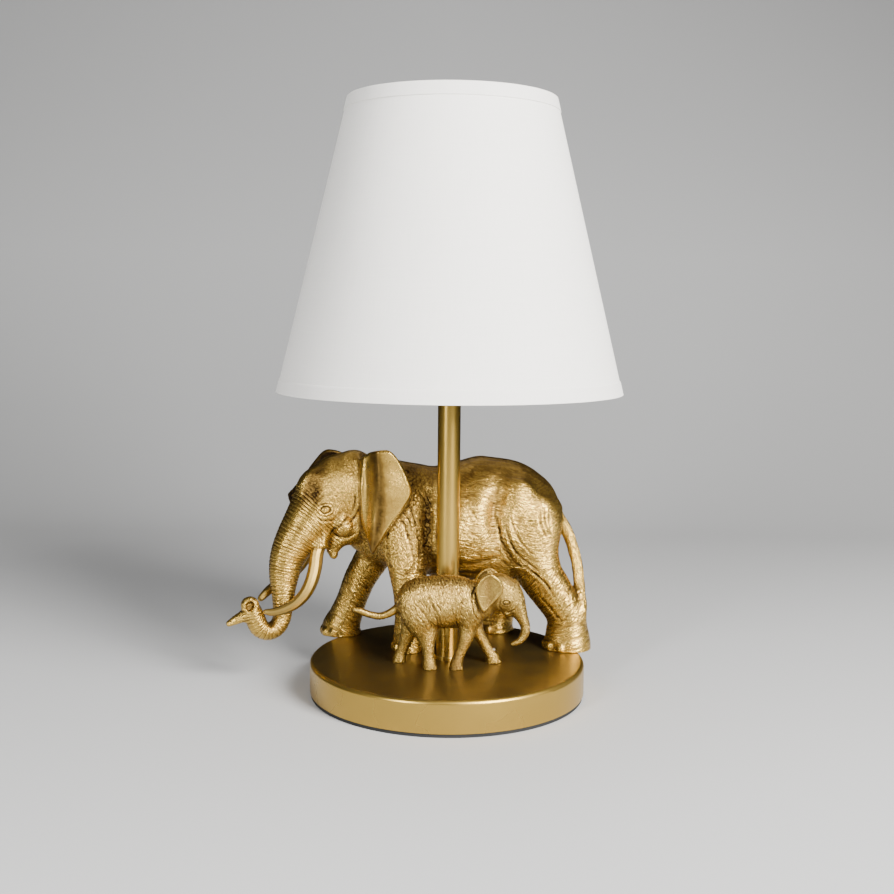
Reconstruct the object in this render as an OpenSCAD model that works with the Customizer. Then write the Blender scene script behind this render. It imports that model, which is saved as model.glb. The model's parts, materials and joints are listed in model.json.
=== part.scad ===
// Table lamp on a round weighted base, with a walking elephant and her calf.
// Millimetres, +Z up. The origin is the centre of the underside, the calf stands on the -Y side.

/* [Base] */
// Diameter of the round base
base_d = 165; // [150:1:180]
// Height of the base without its pad
base_shell_h = 18.4; // [15:0.2:24]
// Thickness of the pad under the base
pad_t = 2.2; // [2:0.1:4]
// Sheet thickness of the base cover
base_wall = 1.2; // [0.8:0.1:2]

/* [Stem] */
// Outside diameter of the stem tube
stem_d = 13.5; // [12.5:0.5:13.5]
// Height of the stem tube's top above the table
stem_top = 196; // [190:1:200]

/* [Shade] */
// Diameter of the shade at its lower edge
shade_bottom_d = 203; // [190:1:215]
// Diameter of the shade at its upper edge
shade_top_d = 121; // [110:1:135]
// Height of the shade's lower edge above the table
shade_bottom_z = 181.5; // [180:0.5:184]
// Height of the shade along its axis
shade_h = 167.5; // [155:0.5:175]
// Thickness of the laminated shade wall
shade_wall = 0.8; // [0.6:0.1:1.2]
// Height of the edge tapes
tape_h = 7.5; // [5:0.5:10]

/* [Lampholder] */
// Outside diameter of the threaded skirt
skirt_d = 39.4; // [39:0.1:40]
// Largest diameter of the candle bulb
bulb_d = 35; // [30:1:36]

/* [Hidden] */
$fn = 64;

base_r = base_d / 2;
base_top = pad_t + base_shell_h;
stem_r = stem_d / 2;
rod_r = 4.95;
rod_bore_r = 3.4;
collar_h = 2;
collar_r = stem_r + 1.1;
cap_h = 2;
weight_h = 11;
weight_r = base_r - 6;
weight_z = base_top - base_wall - weight_h;
bushing_z = 9.5;
bushing_r = 4;
bushing_bore_r = 2.8;
screw_r = 1.9;
calf_screw_r = 1.4;
head_h = 2;

// Lampholder levels, counted up from the stem
holder_z = stem_top + cap_h;
skirt_z = holder_z + 14;
skirt_r = skirt_d / 2;
ring_r = 24;
ring_bore_r = skirt_r + 0.08;
plate_r = 27;
fitter_z = skirt_z + 22;
fitter_t = 1.6;
insert_top = skirt_z + 9;
cap_rib_r = 13;
shell_r = cap_rib_r + 0.08;
switch_z = skirt_z + 4;

// Bulb levels
contact_z = insert_top + 1.4;
insulator_z = contact_z + 1.2;
cap_z = insulator_z + 2.4;
cap_len = 24;
neck_r = 11;
neck_len = 8;
glass_z = cap_z + cap_len - neck_len;
glass_len = 84;
bulb_r = bulb_d / 2;
glass_rod_r = 2;

// Shade
shade_r0 = shade_bottom_d / 2;
shade_r1 = shade_top_d / 2;
shade_top_z = shade_bottom_z + shade_h;
tape_t = 0.5;
wire_r = 1.2;
slope = (shade_r0 - shade_r1) / shade_h;
gold = [0.72, 0.56, 0.3];
old_gold = [0.66, 0.5, 0.24];
brass = [0.8, 0.65, 0.35];

// Foot centres that take a screw, x and y
adult_screw_at = [[-26, 14], [32, 61], [66, 22]];
calf_screw_at = [[-10.3, -24.5], [27.4, -11]];

// ---------------------------------------------------------------- shaping functions

function unit(v) = v / norm(v);

// Catmull-Rom value between stations b and c
function between(a, b, c, d, t) =
    0.5 * (2 * b + (c - a) * t + (2 * a - 5 * b + 4 * c - d) * t ^ 2 + (3 * b - a - 3 * c + d) * t ^ 3);

// The stations with "per" steps between each pair
function dense(s, per) = let (last = len(s) - 1)
    [for (i = [0 : last - 1]) for (k = [0 : per - 1])
        between(s[max(i - 1, 0)], s[i], s[i + 1], s[min(i + 2, last)], k / per), s[last]];

function place(s) = [s[0], s[1], s[2]];
function tangent(s, i) = unit(place(s[min(i + 1, len(s) - 1)]) - place(s[max(i - 1, 0)]));

// One elliptic ring: half-width s[3] along side, half-depth s[4] across it
function ring(centre, half_width, half_depth, t, side, n) =
    let (across = unit(side - (side * t) * t), deep = cross(t, across))
    [for (j = [0 : n - 1]) let (a = 360 * j / n)
        centre + half_width * cos(a) * across + half_depth * sin(a) * deep];

// A rounded end: rings that shrink over the length "reach" along direction "way"
function dome(s, t, way, reach, side, n) = [for (a = [35, 62, 82])
    ring(place(s) + way * reach * sin(a) * t, s[3] * cos(a), s[4] * cos(a), t, side, n)];

// Triangles between m rings of n points; way is -1 where the rings turn left-handed
function skin(m, n, way) = [for (i = [0 : m - 2]) for (j = [0 : n - 1]) let (k = (j + 1) % n,
        a = i * n + j, b = i * n + k, c = (i + 1) * n + k, d = (i + 1) * n + j)
    for (f = way > 0 ? [[a, c, b], [a, d, c]] : [[a, b, c], [a, c, d]]) f];

// Stations are [x, y, z, half-width, half-depth]; start and end are the lengths of the rounded ends.
// A limb with no end length is a leg, and its last ring lies flat on the base.
module limb(stations, side = [0, 1, 0], per = 2, n = 12, start = 0, end = 0) {
    s = dense(stations, per);
    last = len(s) - 1;
    body = [for (i = [0 : last])
        ring(place(s[i]), s[i][3], s[i][4], end == 0 && i == last ? [0, 0, -1] : tangent(s, i), side, n)];
    head = start > 0 ? dome(s[0], tangent(s, 0), -1, start, side, n) : [];
    tail = end > 0 ? dome(s[last], tangent(s, last), 1, end, side, n) : [];
    rings = concat([for (i = [len(head) - 1 : -1 : 0]) head[i]], body, tail);
    m = len(rings);
    points = [for (r = rings) for (p = r) p];
    first_face = [for (j = [0 : n - 1]) j];
    last_face = [for (j = [n - 1 : -1 : 0]) (m - 1) * n + j];
    polyhedron(points, concat([first_face], skin(m, n, 1), [last_face]));
}

// A thin leaf with a rounded rim: the outline shrinks towards its centre on both faces.
// Its middle bulges along out.
module leaf(outline, out, thick, bulge) {
    n = len(outline);
    centre = [for (k = [0 : 2]) [for (p = outline) p[k]] * [for (p = outline) 1] / n];
    shares = [0.93, 0.72, 0.4];
    faces_of = function (share, face) [for (p = outline)
        centre + share * (p - centre)
        + out * (bulge * (1 - share * share) + face * thick / 2 * sqrt(1 - share * share * 0.8))];
    rings = concat([for (i = [2 : -1 : 0]) faces_of(shares[i], -1)], [outline],
                   [for (i = [0 : 2]) faces_of(shares[i], 1)]);
    m = len(rings);
    points = concat([for (r = rings) for (p = r) p],
                    [centre + out * (bulge - thick / 2), centre + out * (bulge + thick / 2)]);
    way = sign([for (j = [0 : n - 1]) cross(outline[j] - centre, outline[(j + 1) % n] - centre) * out]
               * [for (p = outline) 1]);
    low = [for (j = [0 : n - 1]) let (k = (j + 1) % n) way > 0 ? [m * n, j, k] : [m * n, k, j]];
    high = [for (j = [0 : n - 1]) let (a = (m - 1) * n + j, b = (m - 1) * n + (j + 1) % n)
        way > 0 ? [m * n + 1, b, a] : [m * n + 1, a, b]];
    polyhedron(points, concat(skin(m, n, way), low, high));
}

// Nails round the front of a foot: foot is [x, y, half-width, half-length], heading is +1 or -1 along X
module nails(foot, heading, size) {
    for (a = [-66, -24, 24, 66]) translate([foot[0], foot[1], 0])
        hull() {
            translate([heading * (foot[3] - 0.6 * size) * cos(a), 0.94 * foot[2] * sin(a), size])
                sphere(r = size, $fn = 8);
            translate([heading * (foot[3] - 1.4 * size) * cos(a), 0.84 * foot[2] * sin(a), 2 * size])
                sphere(r = 0.7 * size, $fn = 8);
        }
}

// ---------------------------------------------------------------- adult elephant, walking to -X

adult_torso = [[70.5, 41, 74, 5, 8], [69, 41, 74.5, 12, 13], [64, 41, 76.5, 19, 18.5],
    [53, 40.5, 79.5, 25, 28], [40, 40, 80.8, 27.5, 34], [25, 39, 79.8, 28.5, 38],
    [8, 38.5, 78.5, 28, 36.5], [-10, 37.5, 78.5, 26, 34], [-25, 36, 80, 23, 34],
    [-38, 34.5, 82, 20, 32], [-50, 33, 86, 17, 28]];
adult_neck = [[-30, 35, 86, 17, 26], [-44, 33, 93, 18, 25], [-56, 31, 98, 17.5, 22],
    [-64, 29, 102, 15, 17]];
adult_face = [[-55, 31, 110, 12, 9], [-63.5, 28.5, 104, 16, 17], [-72, 26, 94, 17, 20.5],
    [-80, 22.5, 84, 16, 18.5], [-88, 19, 74, 13.6, 14.6], [-94, 16.5, 65, 11.6, 12],
    [-98, 14.5, 56, 10, 10.2], [-99.7, 12.5, 46, 8.6, 8.8], [-100.3, 11, 37, 7.4, 7.4],
    [-100.5, 10, 29, 6.3, 6.3], [-101, 9, 21, 5.8, 5.6], [-104, 7.5, 15.2, 5.6, 5.4],
    [-109, 5, 13.4, 5.8, 5.5], [-113.6, 2.5, 16.4, 6.2, 5.9], [-116, 1, 22.5, 6.2, 6],
    [-118, 0, 28.8, 5.6, 5.4], [-118.8, -0.4, 32, 4.4, 4.2]];
adult_finger = [[-117, 0.2, 27.5, 4.4, 4.2], [-122.6, -1.8, 24.6, 3.8, 3.5],
    [-127.6, -3.4, 22.2, 3, 2.7], [-131.2, -4.6, 20.4, 2, 1.8]];
adult_jaw = [[-54, 29, 80, 12, 14], [-62, 26.5, 74, 12, 11.5], [-69, 24, 67, 9, 7],
    [-71.5, 22.5, 60, 4.6, 3.6]];
adult_left_fore = [[-30, 27, 92, 10, 19], [-28, 23, 78, 11, 17.5], [-26.5, 19.5, 66, 10.5, 15],
    [-25, 17, 55, 9.8, 12.8], [-24, 15.5, 44, 9, 11.2], [-23.6, 15, 34, 8.6, 9.7],
    [-25, 14.5, 22, 8.4, 9], [-26, 14, 12, 8.8, 9.4], [-26.5, 14, 5, 9.8, 10.4],
    [-26.5, 14, 0, 10.2, 10.8]];
adult_right_fore = [[-34, 43, 88, 9, 18], [-38, 45, 72, 9.5, 15], [-44, 47, 58, 9.3, 12.5],
    [-51, 48, 46, 9, 11], [-56.5, 48.5, 36, 8.7, 10.3], [-61.5, 49, 23, 8.6, 9.8],
    [-65.5, 49.5, 12, 9, 10.8], [-68, 50, 5, 10, 12.6], [-68.5, 50, 0, 10.4, 13.2]];
adult_left_hind = [[50, 31, 86, 12, 19], [51, 28, 74, 13.5, 20], [53, 25.5, 60, 13.5, 17.5],
    [57.6, 23.5, 47, 12.8, 15], [64.5, 22.5, 36, 11.6, 13.6], [71, 22, 26, 10.8, 12.4],
    [74, 22, 18, 10.8, 12.3], [74.6, 22, 10, 11.6, 13.6], [75, 22, 4, 12.8, 15],
    [75, 22, 0, 13.2, 15.4]];
adult_right_hind = [[50, 51, 84, 12, 17], [47, 54, 72, 13, 17], [43, 56, 58, 12, 14],
    [39, 58, 46, 10.6, 12], [37.5, 60, 34, 9.8, 10.6], [36, 61, 22, 9.6, 10], [33, 62, 11, 10, 11],
    [31, 62, 4, 11, 12.6], [31, 62, 0, 11.4, 13]];
adult_tail = [[66, 41, 79, 4.4, 4.4], [71, 41, 75.8, 3.7, 3.8], [75.8, 39.5, 68.6, 3.1, 3.2],
    [79.6, 36.5, 60, 3, 3.1], [82.3, 32.5, 51, 2.9, 3], [83.6, 28, 41, 3, 3],
    [84, 23.5, 33.5, 3.4, 3.4], [84.6, 20, 26, 3.9, 3.9], [84.8, 19, 19.5, 2.8, 2.8]];
adult_left_ear = [[-56, 15, 118.4], [-49, 13, 122.2], [-40.8, 11.5, 124.2], [-34.5, 10, 123.2],
    [-28.2, 8, 115.5], [-23.6, 7, 105], [-22.6, 6.5, 98.5], [-25, 6.5, 91.8], [-32, 7, 82.6],
    [-38.2, 8, 72.8], [-41.8, 9, 66.2], [-46.4, 11, 61], [-50, 12.5, 68.5], [-53.5, 14, 78],
    [-55.5, 15, 90], [-55.5, 15.5, 104]];
adult_right_ear = [[-64, 42, 117], [-71, 48, 121], [-79, 54, 120.5], [-86, 60, 112], [-93, 64, 101],
    [-101, 67, 93], [-105, 69, 87], [-101, 68, 78], [-93, 63, 68], [-84, 57, 60], [-77, 51, 58],
    [-71, 45, 65], [-68, 42, 77], [-66, 41, 96]];
adult_left_tusk_line = [[-77.5, 15.5, 67, 4, 4], [-79.8, 12.6, 61, 4.2, 4.2],
    [-80.6, 9.4, 52.6, 4.2, 4.2], [-82.6, 6.4, 44.3, 4.1, 4.1], [-86.6, 3.4, 36.7, 3.8, 3.8],
    [-92.4, 1, 31.3, 3.4, 3.4], [-99.3, -0.8, 28.2, 2.9, 2.9], [-105, -2, 27.2, 2.4, 2.4],
    [-108.2, -2.6, 27.4, 1.9, 1.9]];
adult_right_tusk_line = [[-84.5, 31, 67, 4, 4], [-87.5, 32, 60, 4.2, 4.2], [-90.5, 30.5, 52, 4, 4],
    [-96.5, 27.5, 45, 3.7, 3.7], [-104, 22.5, 40, 3.3, 3.3], [-110, 17, 36, 2.8, 2.8],
    [-114, 12.8, 32.4, 2.2, 2.2]];

module adult_elephant() {
    color(old_gold) translate([0, 0, base_top]) {
        limb(adult_torso, n = 20, start = 1.6, end = 12);
        limb(adult_neck, n = 16, start = 4, end = 8);
        limb(adult_face, side = [0.47, -0.88, 0], n = 14, start = 6, end = 3);
        limb(adult_finger, side = [0.47, -0.88, 0], n = 8, start = 2, end = 1.4);
        limb(adult_jaw, side = [0.47, -0.88, 0], n = 12, start = 4, end = 3);
        limb(adult_left_fore, start = 6);
        limb(adult_right_fore, start = 6);
        limb(adult_left_hind, n = 14, start = 6);
        limb(adult_right_hind, start = 6);
        limb(adult_tail, n = 8, start = 2, end = 4);
        leaf(adult_left_ear, [-0.1, -1, 0], 4.4, 1);
        leaf(adult_right_ear, [-0.62, -0.78, 0], 4.4, 1);
        nails([-26.5, 14, 10, 10.6], -1, 1.9);
        nails([-68.5, 50, 10, 12.6], -1, 1.9);
        nails([75, 22, 12.8, 15.2], -1, 2.1);
        nails([31, 62, 11.2, 12.6], -1, 2);
    }
}

module tusk(line) {
    color(gold) translate([0, 0, base_top]) limb(line, per = 3, n = 12, start = 1, end = 2.6);
}

module adult_left_tusk() tusk(adult_left_tusk_line);
module adult_right_tusk() tusk(adult_right_tusk_line);

// ---------------------------------------------------------------- calf, walking to +X

calf_torso = [[-28.4, -18.4, 36.2, 5, 6.5], [-26, -18.4, 36.6, 8.2, 10.6], [-21, -18.4, 37.4, 10.2, 14],
    [-13, -18.4, 38.2, 10.9, 15.8], [-3, -18.4, 38.8, 11.2, 16], [6, -18.4, 38.8, 10.8, 15.6],
    [14, -18.6, 39.2, 9.6, 13.6], [21, -19, 41, 8, 11.6]];
calf_face = [[21.5, -19.4, 47, 6.5, 8], [26.5, -19.8, 46, 8, 10.4], [31, -20.2, 44.6, 8.4, 11],
    [35, -20.5, 42.4, 8, 10.2], [38.4, -20.9, 39, 6.7, 7.9], [41.2, -21.2, 34.8, 5.1, 5.5],
    [43.8, -21.5, 30, 3.9, 3.6], [45.6, -21.8, 24.8, 3.3, 2.9], [44.8, -22, 20, 2.9, 2.6],
    [42.2, -22.2, 16.6, 2.4, 2.1], [38.6, -22.2, 15, 1.7, 1.5]];
calf_right_hind = [[-18.6, -21.5, 38, 6.4, 9.6], [-17.4, -23, 30, 6.2, 8.9], [-13.6, -24, 22, 5, 6.8],
    [-11.4, -24.4, 14, 3.9, 4.2], [-10.8, -24.5, 7, 3.5, 3.5], [-10.3, -24.5, 2.5, 3.9, 4.1],
    [-10.2, -24.5, 0, 4, 4.3]];
calf_right_fore = [[13.6, -21.5, 38, 5.8, 7.6], [13.6, -23, 30, 5.4, 6.4], [12, -24, 23, 4.4, 5],
    [10, -24.5, 16, 3.6, 3.8], [7.3, -24.5, 9, 3.2, 3.2], [5.5, -24.5, 3.4, 3.7, 3.7],
    [5.1, -24.5, 0, 3.9, 4.2]];
calf_left_hind = [[-20, -15, 36, 6.2, 8.6], [-20.8, -13, 27, 5.4, 7.2], [-22.8, -12, 19, 4.4, 5],
    [-25, -11.5, 12, 3.6, 3.9], [-27, -11.3, 6.6, 3.3, 3.4], [-28.3, -11, 2.6, 3.7, 3.8],
    [-28.7, -11, 0, 3.8, 4.1]];
calf_left_fore = [[13.6, -15, 36, 5.2, 7.2], [15.4, -13, 27, 4.8, 5.8], [17.6, -12, 20, 3.9, 4.1],
    [21.2, -11.3, 13.5, 3.2, 3.3], [24.6, -11, 7.5, 3, 3.2], [27.3, -11, 3.2, 3.4, 4],
    [27.8, -11, 0, 3.5, 4.4]];
calf_tail = [[-26, -18.4, 37, 2.9, 3.1], [-30, -18.5, 34.5, 2.4, 2.5], [-34, -18.7, 32.2, 2, 2.1],
    [-39.8, -19.2, 30.3, 1.7, 1.8], [-46.5, -19.6, 31.8, 1.7, 1.8], [-51.5, -20, 33.5, 1.7, 1.8],
    [-54.4, -20, 34, 1.2, 1.2]];
calf_right_ear = [[30.4, -28.6, 51], [28.2, -28.8, 55], [24, -29.2, 58], [20, -29.5, 56.2],
    [17, -29.5, 52], [16.4, -29.5, 48.6], [17.4, -29.5, 42.9], [19.4, -29.5, 37.6], [21.2, -29.5, 36],
    [24, -29.2, 39.5], [27.6, -28.8, 44], [29.8, -28.6, 47.5]];
calf_left_ear = [[30.4, -11.8, 51], [28.2, -11.6, 55], [24, -11.2, 58], [20, -10.9, 56.2],
    [17, -10.9, 52], [16.4, -10.9, 48.6], [17.4, -10.9, 42.9], [19.4, -10.9, 37.6], [21.2, -10.9, 36],
    [24, -11.2, 39.5], [27.6, -11.6, 44], [29.8, -11.8, 47.5]];

module calf_elephant() {
    color(old_gold) translate([0, 0, base_top]) {
        limb(calf_torso, n = 16, start = 1.5, end = 5);
        limb(calf_face, n = 12, start = 3, end = 1.5);
        limb(calf_right_hind, start = 3);
        limb(calf_right_fore, start = 3);
        limb(calf_left_hind, start = 3);
        limb(calf_left_fore, start = 3);
        limb(calf_tail, n = 8, start = 1, end = 1.4);
        leaf(calf_right_ear, [0, -1, 0], 2.4, 0.6);
        leaf(calf_left_ear, [0, 1, 0], 2.4, 0.6);
        nails([-10.2, -24.5, 3.9, 4.2], 1, 0.8);
        nails([5.1, -24.5, 3.8, 4.1], 1, 0.8);
        nails([-28.7, -11, 3.7, 4], 1, 0.8);
        nails([27.8, -11, 3.4, 4.3], 1, 0.8);
    }
}

// ---------------------------------------------------------------- base and stem

// Half profile of a disc with its top edge rounded
module rounded_disc(r, low, high, edge) {
    translate([0, low]) square([r, high - low - edge]);
    translate([0, low]) square([r - edge, high - low]);
    translate([r - edge, high - edge]) circle(edge);
}

module base_cover() {
    edge = 2.4;
    inside = max(edge - base_wall, 0.2);
    color(gold) difference() {
        rotate_extrude() difference() {
            rounded_disc(base_r, pad_t, base_top, edge);
            rounded_disc(base_r - base_wall, pad_t - 1, base_top - base_wall, inside);
        }
        cylinder(r = rod_r + 0.15, h = base_top + 1);
        translate([0, base_r, bushing_z]) rotate([90, 0, 0])
            cylinder(r = bushing_r + 0.05, h = 12, center = true);
        for (p = adult_screw_at) translate([p[0], p[1], 0]) cylinder(r = screw_r + 0.1, h = base_top + 1);
        for (p = calf_screw_at) translate([p[0], p[1], 0])
            cylinder(r = calf_screw_r + 0.1, h = base_top + 1);
    }
}

module base_weight() {
    color("dimgray") difference() {
        translate([0, 0, weight_z]) cylinder(r = weight_r, h = weight_h);
        translate([0, 0, weight_z - 1]) cylinder(r = rod_r + 0.3, h = weight_h + 2);
        // Pocket for the rod's nut, and the channel that leads the flex to the bushing
        translate([0, 0, weight_z - 1]) cylinder(r = 12, h = 6.5);
        translate([-3.5, 0, weight_z - 1]) cube([7, base_r, 6.5]);
        for (p = adult_screw_at) translate([p[0], p[1], weight_z - 1]) cylinder(r = 4.5, h = weight_h + 2);
        for (p = calf_screw_at) translate([p[0], p[1], weight_z - 1]) cylinder(r = 3.6, h = weight_h + 2);
    }
}

module base_pad() color([0.04, 0.04, 0.04]) cylinder(r = base_r - 0.6, h = pad_t);

module cord_bushing() {
    color([0.05, 0.05, 0.05]) translate([0, base_r, bushing_z]) rotate([90, 0, 0]) difference() {
        union() {
            translate([0, 0, -1.5]) cylinder(r = bushing_r + 1.6, h = 1.5);
            translate([0, 0, -0.5]) cylinder(r = bushing_r, h = 5);
            translate([0, 0, base_wall + 0.15]) cylinder(r = bushing_r + 0.9, h = 1);
        }
        translate([0, 0, -3]) cylinder(r = bushing_bore_r, h = 12);
    }
}

nut_z = weight_z + 5.5;

module rod_washer() {
    color("silver") translate([0, 0, nut_z - 1]) difference() {
        cylinder(r = 10, h = 1);
        translate([0, 0, -1]) cylinder(r = rod_r + 0.1, h = 3);
    }
}

module rod_nut() {
    color("silver") translate([0, 0, nut_z - 4]) difference() {
        cylinder(r = 8.6, h = 3, $fn = 6);
        translate([0, 0, -1]) cylinder(r = rod_r + 0.05, h = 5);
    }
}

module threaded_rod() {
    color("silver") translate([0, 0, pad_t + 0.6]) difference() {
        cylinder(r = rod_r, h = holder_z + 9 - pad_t - 0.6);
        translate([0, 0, -1]) cylinder(r = rod_bore_r, h = holder_z + 20);
    }
}

module stem_collar() {
    color(gold) translate([0, 0, base_top]) rotate_extrude() difference() {
        union() {
            square([collar_r, collar_h - 0.8]);
            square([collar_r - 0.8, collar_h]);
            translate([collar_r - 0.8, collar_h - 0.8]) circle(0.8);
        }
        translate([-1, -1]) square([rod_r + 1.1, collar_h + 2]);
    }
}

module stem_tube() {
    color(gold) translate([0, 0, base_top + collar_h]) difference() {
        cylinder(r = stem_r, h = stem_top - base_top - collar_h);
        translate([0, 0, -1]) cylinder(r = stem_r - 1.2, h = stem_top);
    }
}

module stem_cap() {
    color(gold) translate([0, 0, stem_top]) difference() {
        cylinder(r = stem_r + 2, h = cap_h);
        translate([0, 0, -1]) cylinder(r = rod_r + 0.1, h = cap_h + 2);
    }
}

// Screws from under the cover up into the feet
module foot_screws(at, r, head_r, length) {
    color("silver") for (p = at) translate([p[0], p[1], base_top - base_wall - head_h]) {
        cylinder(r = head_r, h = head_h);
        cylinder(r = r, h = head_h + base_wall + length);
    }
}

module adult_screws() foot_screws(adult_screw_at, screw_r, 3.8, 14);
module calf_screws() foot_screws(calf_screw_at, calf_screw_r, 2.8, 9);

// ---------------------------------------------------------------- lampholder

module holder_cap() {
    color(brass) translate([0, 0, holder_z]) difference() {
        rotate_extrude() polygon([
            [0, 0], [9, 0], [skirt_r - 2.5, 7], [skirt_r - 0.4, 10], [skirt_r - 0.4, 14], [skirt_r - 3, 14],
            [skirt_r - 3, 10.6], [skirt_r - 4.4, 8.4], [9, 3], [8, 9], [0, 9]]);
        translate([0, 0, -1]) cylinder(r = rod_r + 0.05, h = 20);
        translate([6.5, 0, 6]) rotate([0, 90, 0]) cylinder(r = 1.3, h = 20, center = true);
    }
}

module cap_set_screw() {
    color("silver") translate([rod_r + 0.1, 0, holder_z + 6]) rotate([0, 90, 0]) cylinder(r = 1.25, h = 5);
}

module holder_skirt() {
    groove = 0.5;
    pitch = 2.5;
    turns = 12;
    color([0.08, 0.07, 0.06]) translate([0, 0, skirt_z]) difference() {
        union() {
            cylinder(r = skirt_r - groove, h = 40);
            cylinder(r = skirt_r, h = 9);
            for (i = [0 : turns - 1]) translate([0, 0, 10 + i * pitch])
                cylinder(r = skirt_r, h = pitch - 1);
        }
        translate([0, 0, -1]) cylinder(r = skirt_r - 2.2, h = 42);
        translate([0, 0, switch_z - skirt_z]) rotate([0, 90, 0]) cylinder(r = 3.1, h = 40);
    }
}

module holder_insert() {
    color("ivory") translate([0, 0, skirt_z]) difference() {
        union() {
            cylinder(r = skirt_r - 2.3, h = insert_top - skirt_z);
            cylinder(r = shell_r + 2.2, h = 34);
        }
        translate([0, 0, insert_top - skirt_z]) cylinder(r = shell_r + 0.5, h = 40);
        translate([0, -6.2, -1]) cube([30, 12.4, 8]);
        for (a = [120, 240]) rotate([0, 0, a]) translate([9, 0, -1]) cylinder(r = 1.8, h = 8);
    }
}

module screw_shell() {
    color(brass) translate([0, 0, insert_top]) difference() {
        cylinder(r = shell_r + 0.45, h = 25);
        translate([0, 0, 0.4]) cylinder(r = shell_r, h = 30);
        translate([0, 0, -1]) cylinder(r = 5, h = 3);
    }
}

module centre_contact() {
    color(brass) translate([0, 0, insert_top]) {
        cylinder(r = 3.6, h = 0.6);
        translate([0, 0, 0.6]) cylinder(r = 2.4, h = 0.8);
    }
}

module terminal_screws() {
    color(brass) for (a = [120, 240]) rotate([0, 0, a]) translate([9, 0, skirt_z]) {
        cylinder(r = 1.7, h = 6);
        translate([0, 0, -1.6]) cylinder(r = 3, h = 1.6);
    }
}

module switch_body() {
    color("ivory") translate([1, -6, skirt_z + 0.4]) difference() {
        cube([14, 12, 6.6]);
        translate([7, 6, switch_z - skirt_z - 0.4]) rotate([0, 90, 0]) cylinder(r = 1.6, h = 10);
    }
}

shaft_end = skirt_r + 9;
knob_len = 14;

module switch_shaft() {
    color("silver") translate([9, 0, switch_z]) rotate([0, 90, 0]) cylinder(r = 1.5, h = shaft_end + 6 - 9);
}

module switch_knob() {
    flutes = 12;
    color([0.1, 0.08, 0.07]) translate([shaft_end - 4, 0, switch_z]) rotate([0, 90, 0]) difference() {
        union() {
            cylinder(r = 3.4, h = 5);
            translate([0, 0, 4]) cylinder(r = 4.6, h = knob_len - 4);
        }
        translate([0, 0, -1]) cylinder(r = 1.5, h = 11);
        for (i = [0 : flutes - 1]) rotate([0, 0, i * 360 / flutes])
            translate([5.1, 0, 4.8]) cylinder(r = 0.8, h = knob_len);
    }
}

module shade_ring(z, h, notches) {
    color([0.08, 0.07, 0.06]) translate([0, 0, z]) difference() {
        union() {
            cylinder(r = ring_bore_r + 1.8, h = h);
            cylinder(r = ring_r, h = min(h, 3));
        }
        translate([0, 0, -1]) cylinder(r = ring_bore_r, h = h + 2);
        for (i = [0 : notches - 1]) rotate([0, 0, i * 360 / notches])
            translate([ring_r + 0.7, 0, -1]) cylinder(r = 1.5, h = 6);
    }
}

module seat_ring() translate([0, 0, 2 * fitter_z]) mirror([0, 0, 1]) shade_ring(fitter_z, 5, 24);
module clamp_ring() shade_ring(fitter_z + fitter_t, 7, 24);

// ---------------------------------------------------------------- shade

arms = 3;
wire_ring_r = shade_r0 - shade_wall - tape_t - wire_r - 0.6;
wire_ring_z = shade_bottom_z + tape_t + wire_r + 0.05;
top_wire_r = shade_r1 + slope * wire_r - shade_wall - tape_t - wire_r - 0.2;
arm_bend_r = 40;
arm_rise = 1.6;

module wire_ring(r, z) translate([0, 0, z]) rotate_extrude() translate([r, 0]) circle(wire_r);

// A straight wire between two [radius, height] points
module arm_wire(a, b) {
    run = b - a;
    translate([a[0], 0, a[1]]) rotate([0, 90 - atan2(run[1], run[0]), 0])
        cylinder(r = wire_r, h = norm(run));
}

module fitter_plate() {
    color("white") translate([0, 0, fitter_z]) difference() {
        cylinder(r = plate_r, h = fitter_t);
        translate([0, 0, -1]) cylinder(r = skirt_r + 0.9, h = 4);
    }
}

module shade_arms() {
    bend = [arm_bend_r, fitter_z + arm_rise];
    color("white") for (i = [0 : arms - 1]) rotate([0, 0, 90 + i * 360 / arms]) {
        arm_wire(bend, [plate_r - 1.4, fitter_z + fitter_t / 2]);
        arm_wire(bend, [wire_ring_r, wire_ring_z]);
        translate([bend[0], 0, bend[1]]) sphere(r = wire_r + 0.05, $fn = 32);
    }
}

module shade_bottom_wire() color("white") wire_ring(wire_ring_r, wire_ring_z);

module shade_top_wire() {
    color("white") 
        wire_ring(top_wire_r, shade_top_z - tape_t - wire_r - 0.05);
}

// Outer radius of the wall at height z above the lower edge
function wall_r(z) = shade_r0 - tape_t - slope * z;

module shade_cone() {
    top = shade_h - tape_t;
    color("whitesmoke") translate([0, 0, shade_bottom_z]) rotate_extrude()
        polygon([[wall_r(tape_t), tape_t], [wall_r(top), top], [wall_r(top) - shade_wall, top],
                 [wall_r(tape_t) - shade_wall, tape_t]]);
}

// A tape folded over the edge: outer band, web and a short inner flap round the wire
module edge_tape(edge, way) {
    web = edge + way * tape_t;
    far = edge + way * tape_h;
    flap = edge + way * (2 * wire_r + 0.6);
    gap = shade_wall + 2 * wire_r + 0.75;
    color("white") translate([0, 0, shade_bottom_z]) rotate_extrude()
        polygon([
            [wall_r(edge) + tape_t, edge], [wall_r(far) + tape_t, far], [wall_r(far), far],
            [wall_r(web), web], [wall_r(web) - gap, web], [wall_r(flap) - gap, flap],
            [wall_r(flap) - gap - tape_t, flap], [wall_r(edge) - gap - tape_t, edge]]);
}

module shade_top_tape() edge_tape(shade_h, -1);
module shade_bottom_tape() edge_tape(0, 1);

// ---------------------------------------------------------------- bulb

module bulb_contact() color("silver") translate([0, 0, contact_z]) cylinder(r1 = 2.6, r2 = 4.4, h = 1.2);

module bulb_insulator() color([0.06, 0.06, 0.07]) translate([0, 0, insulator_z])
    cylinder(r1 = 4.6, r2 = 9.6, h = cap_z - insulator_z);

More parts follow.
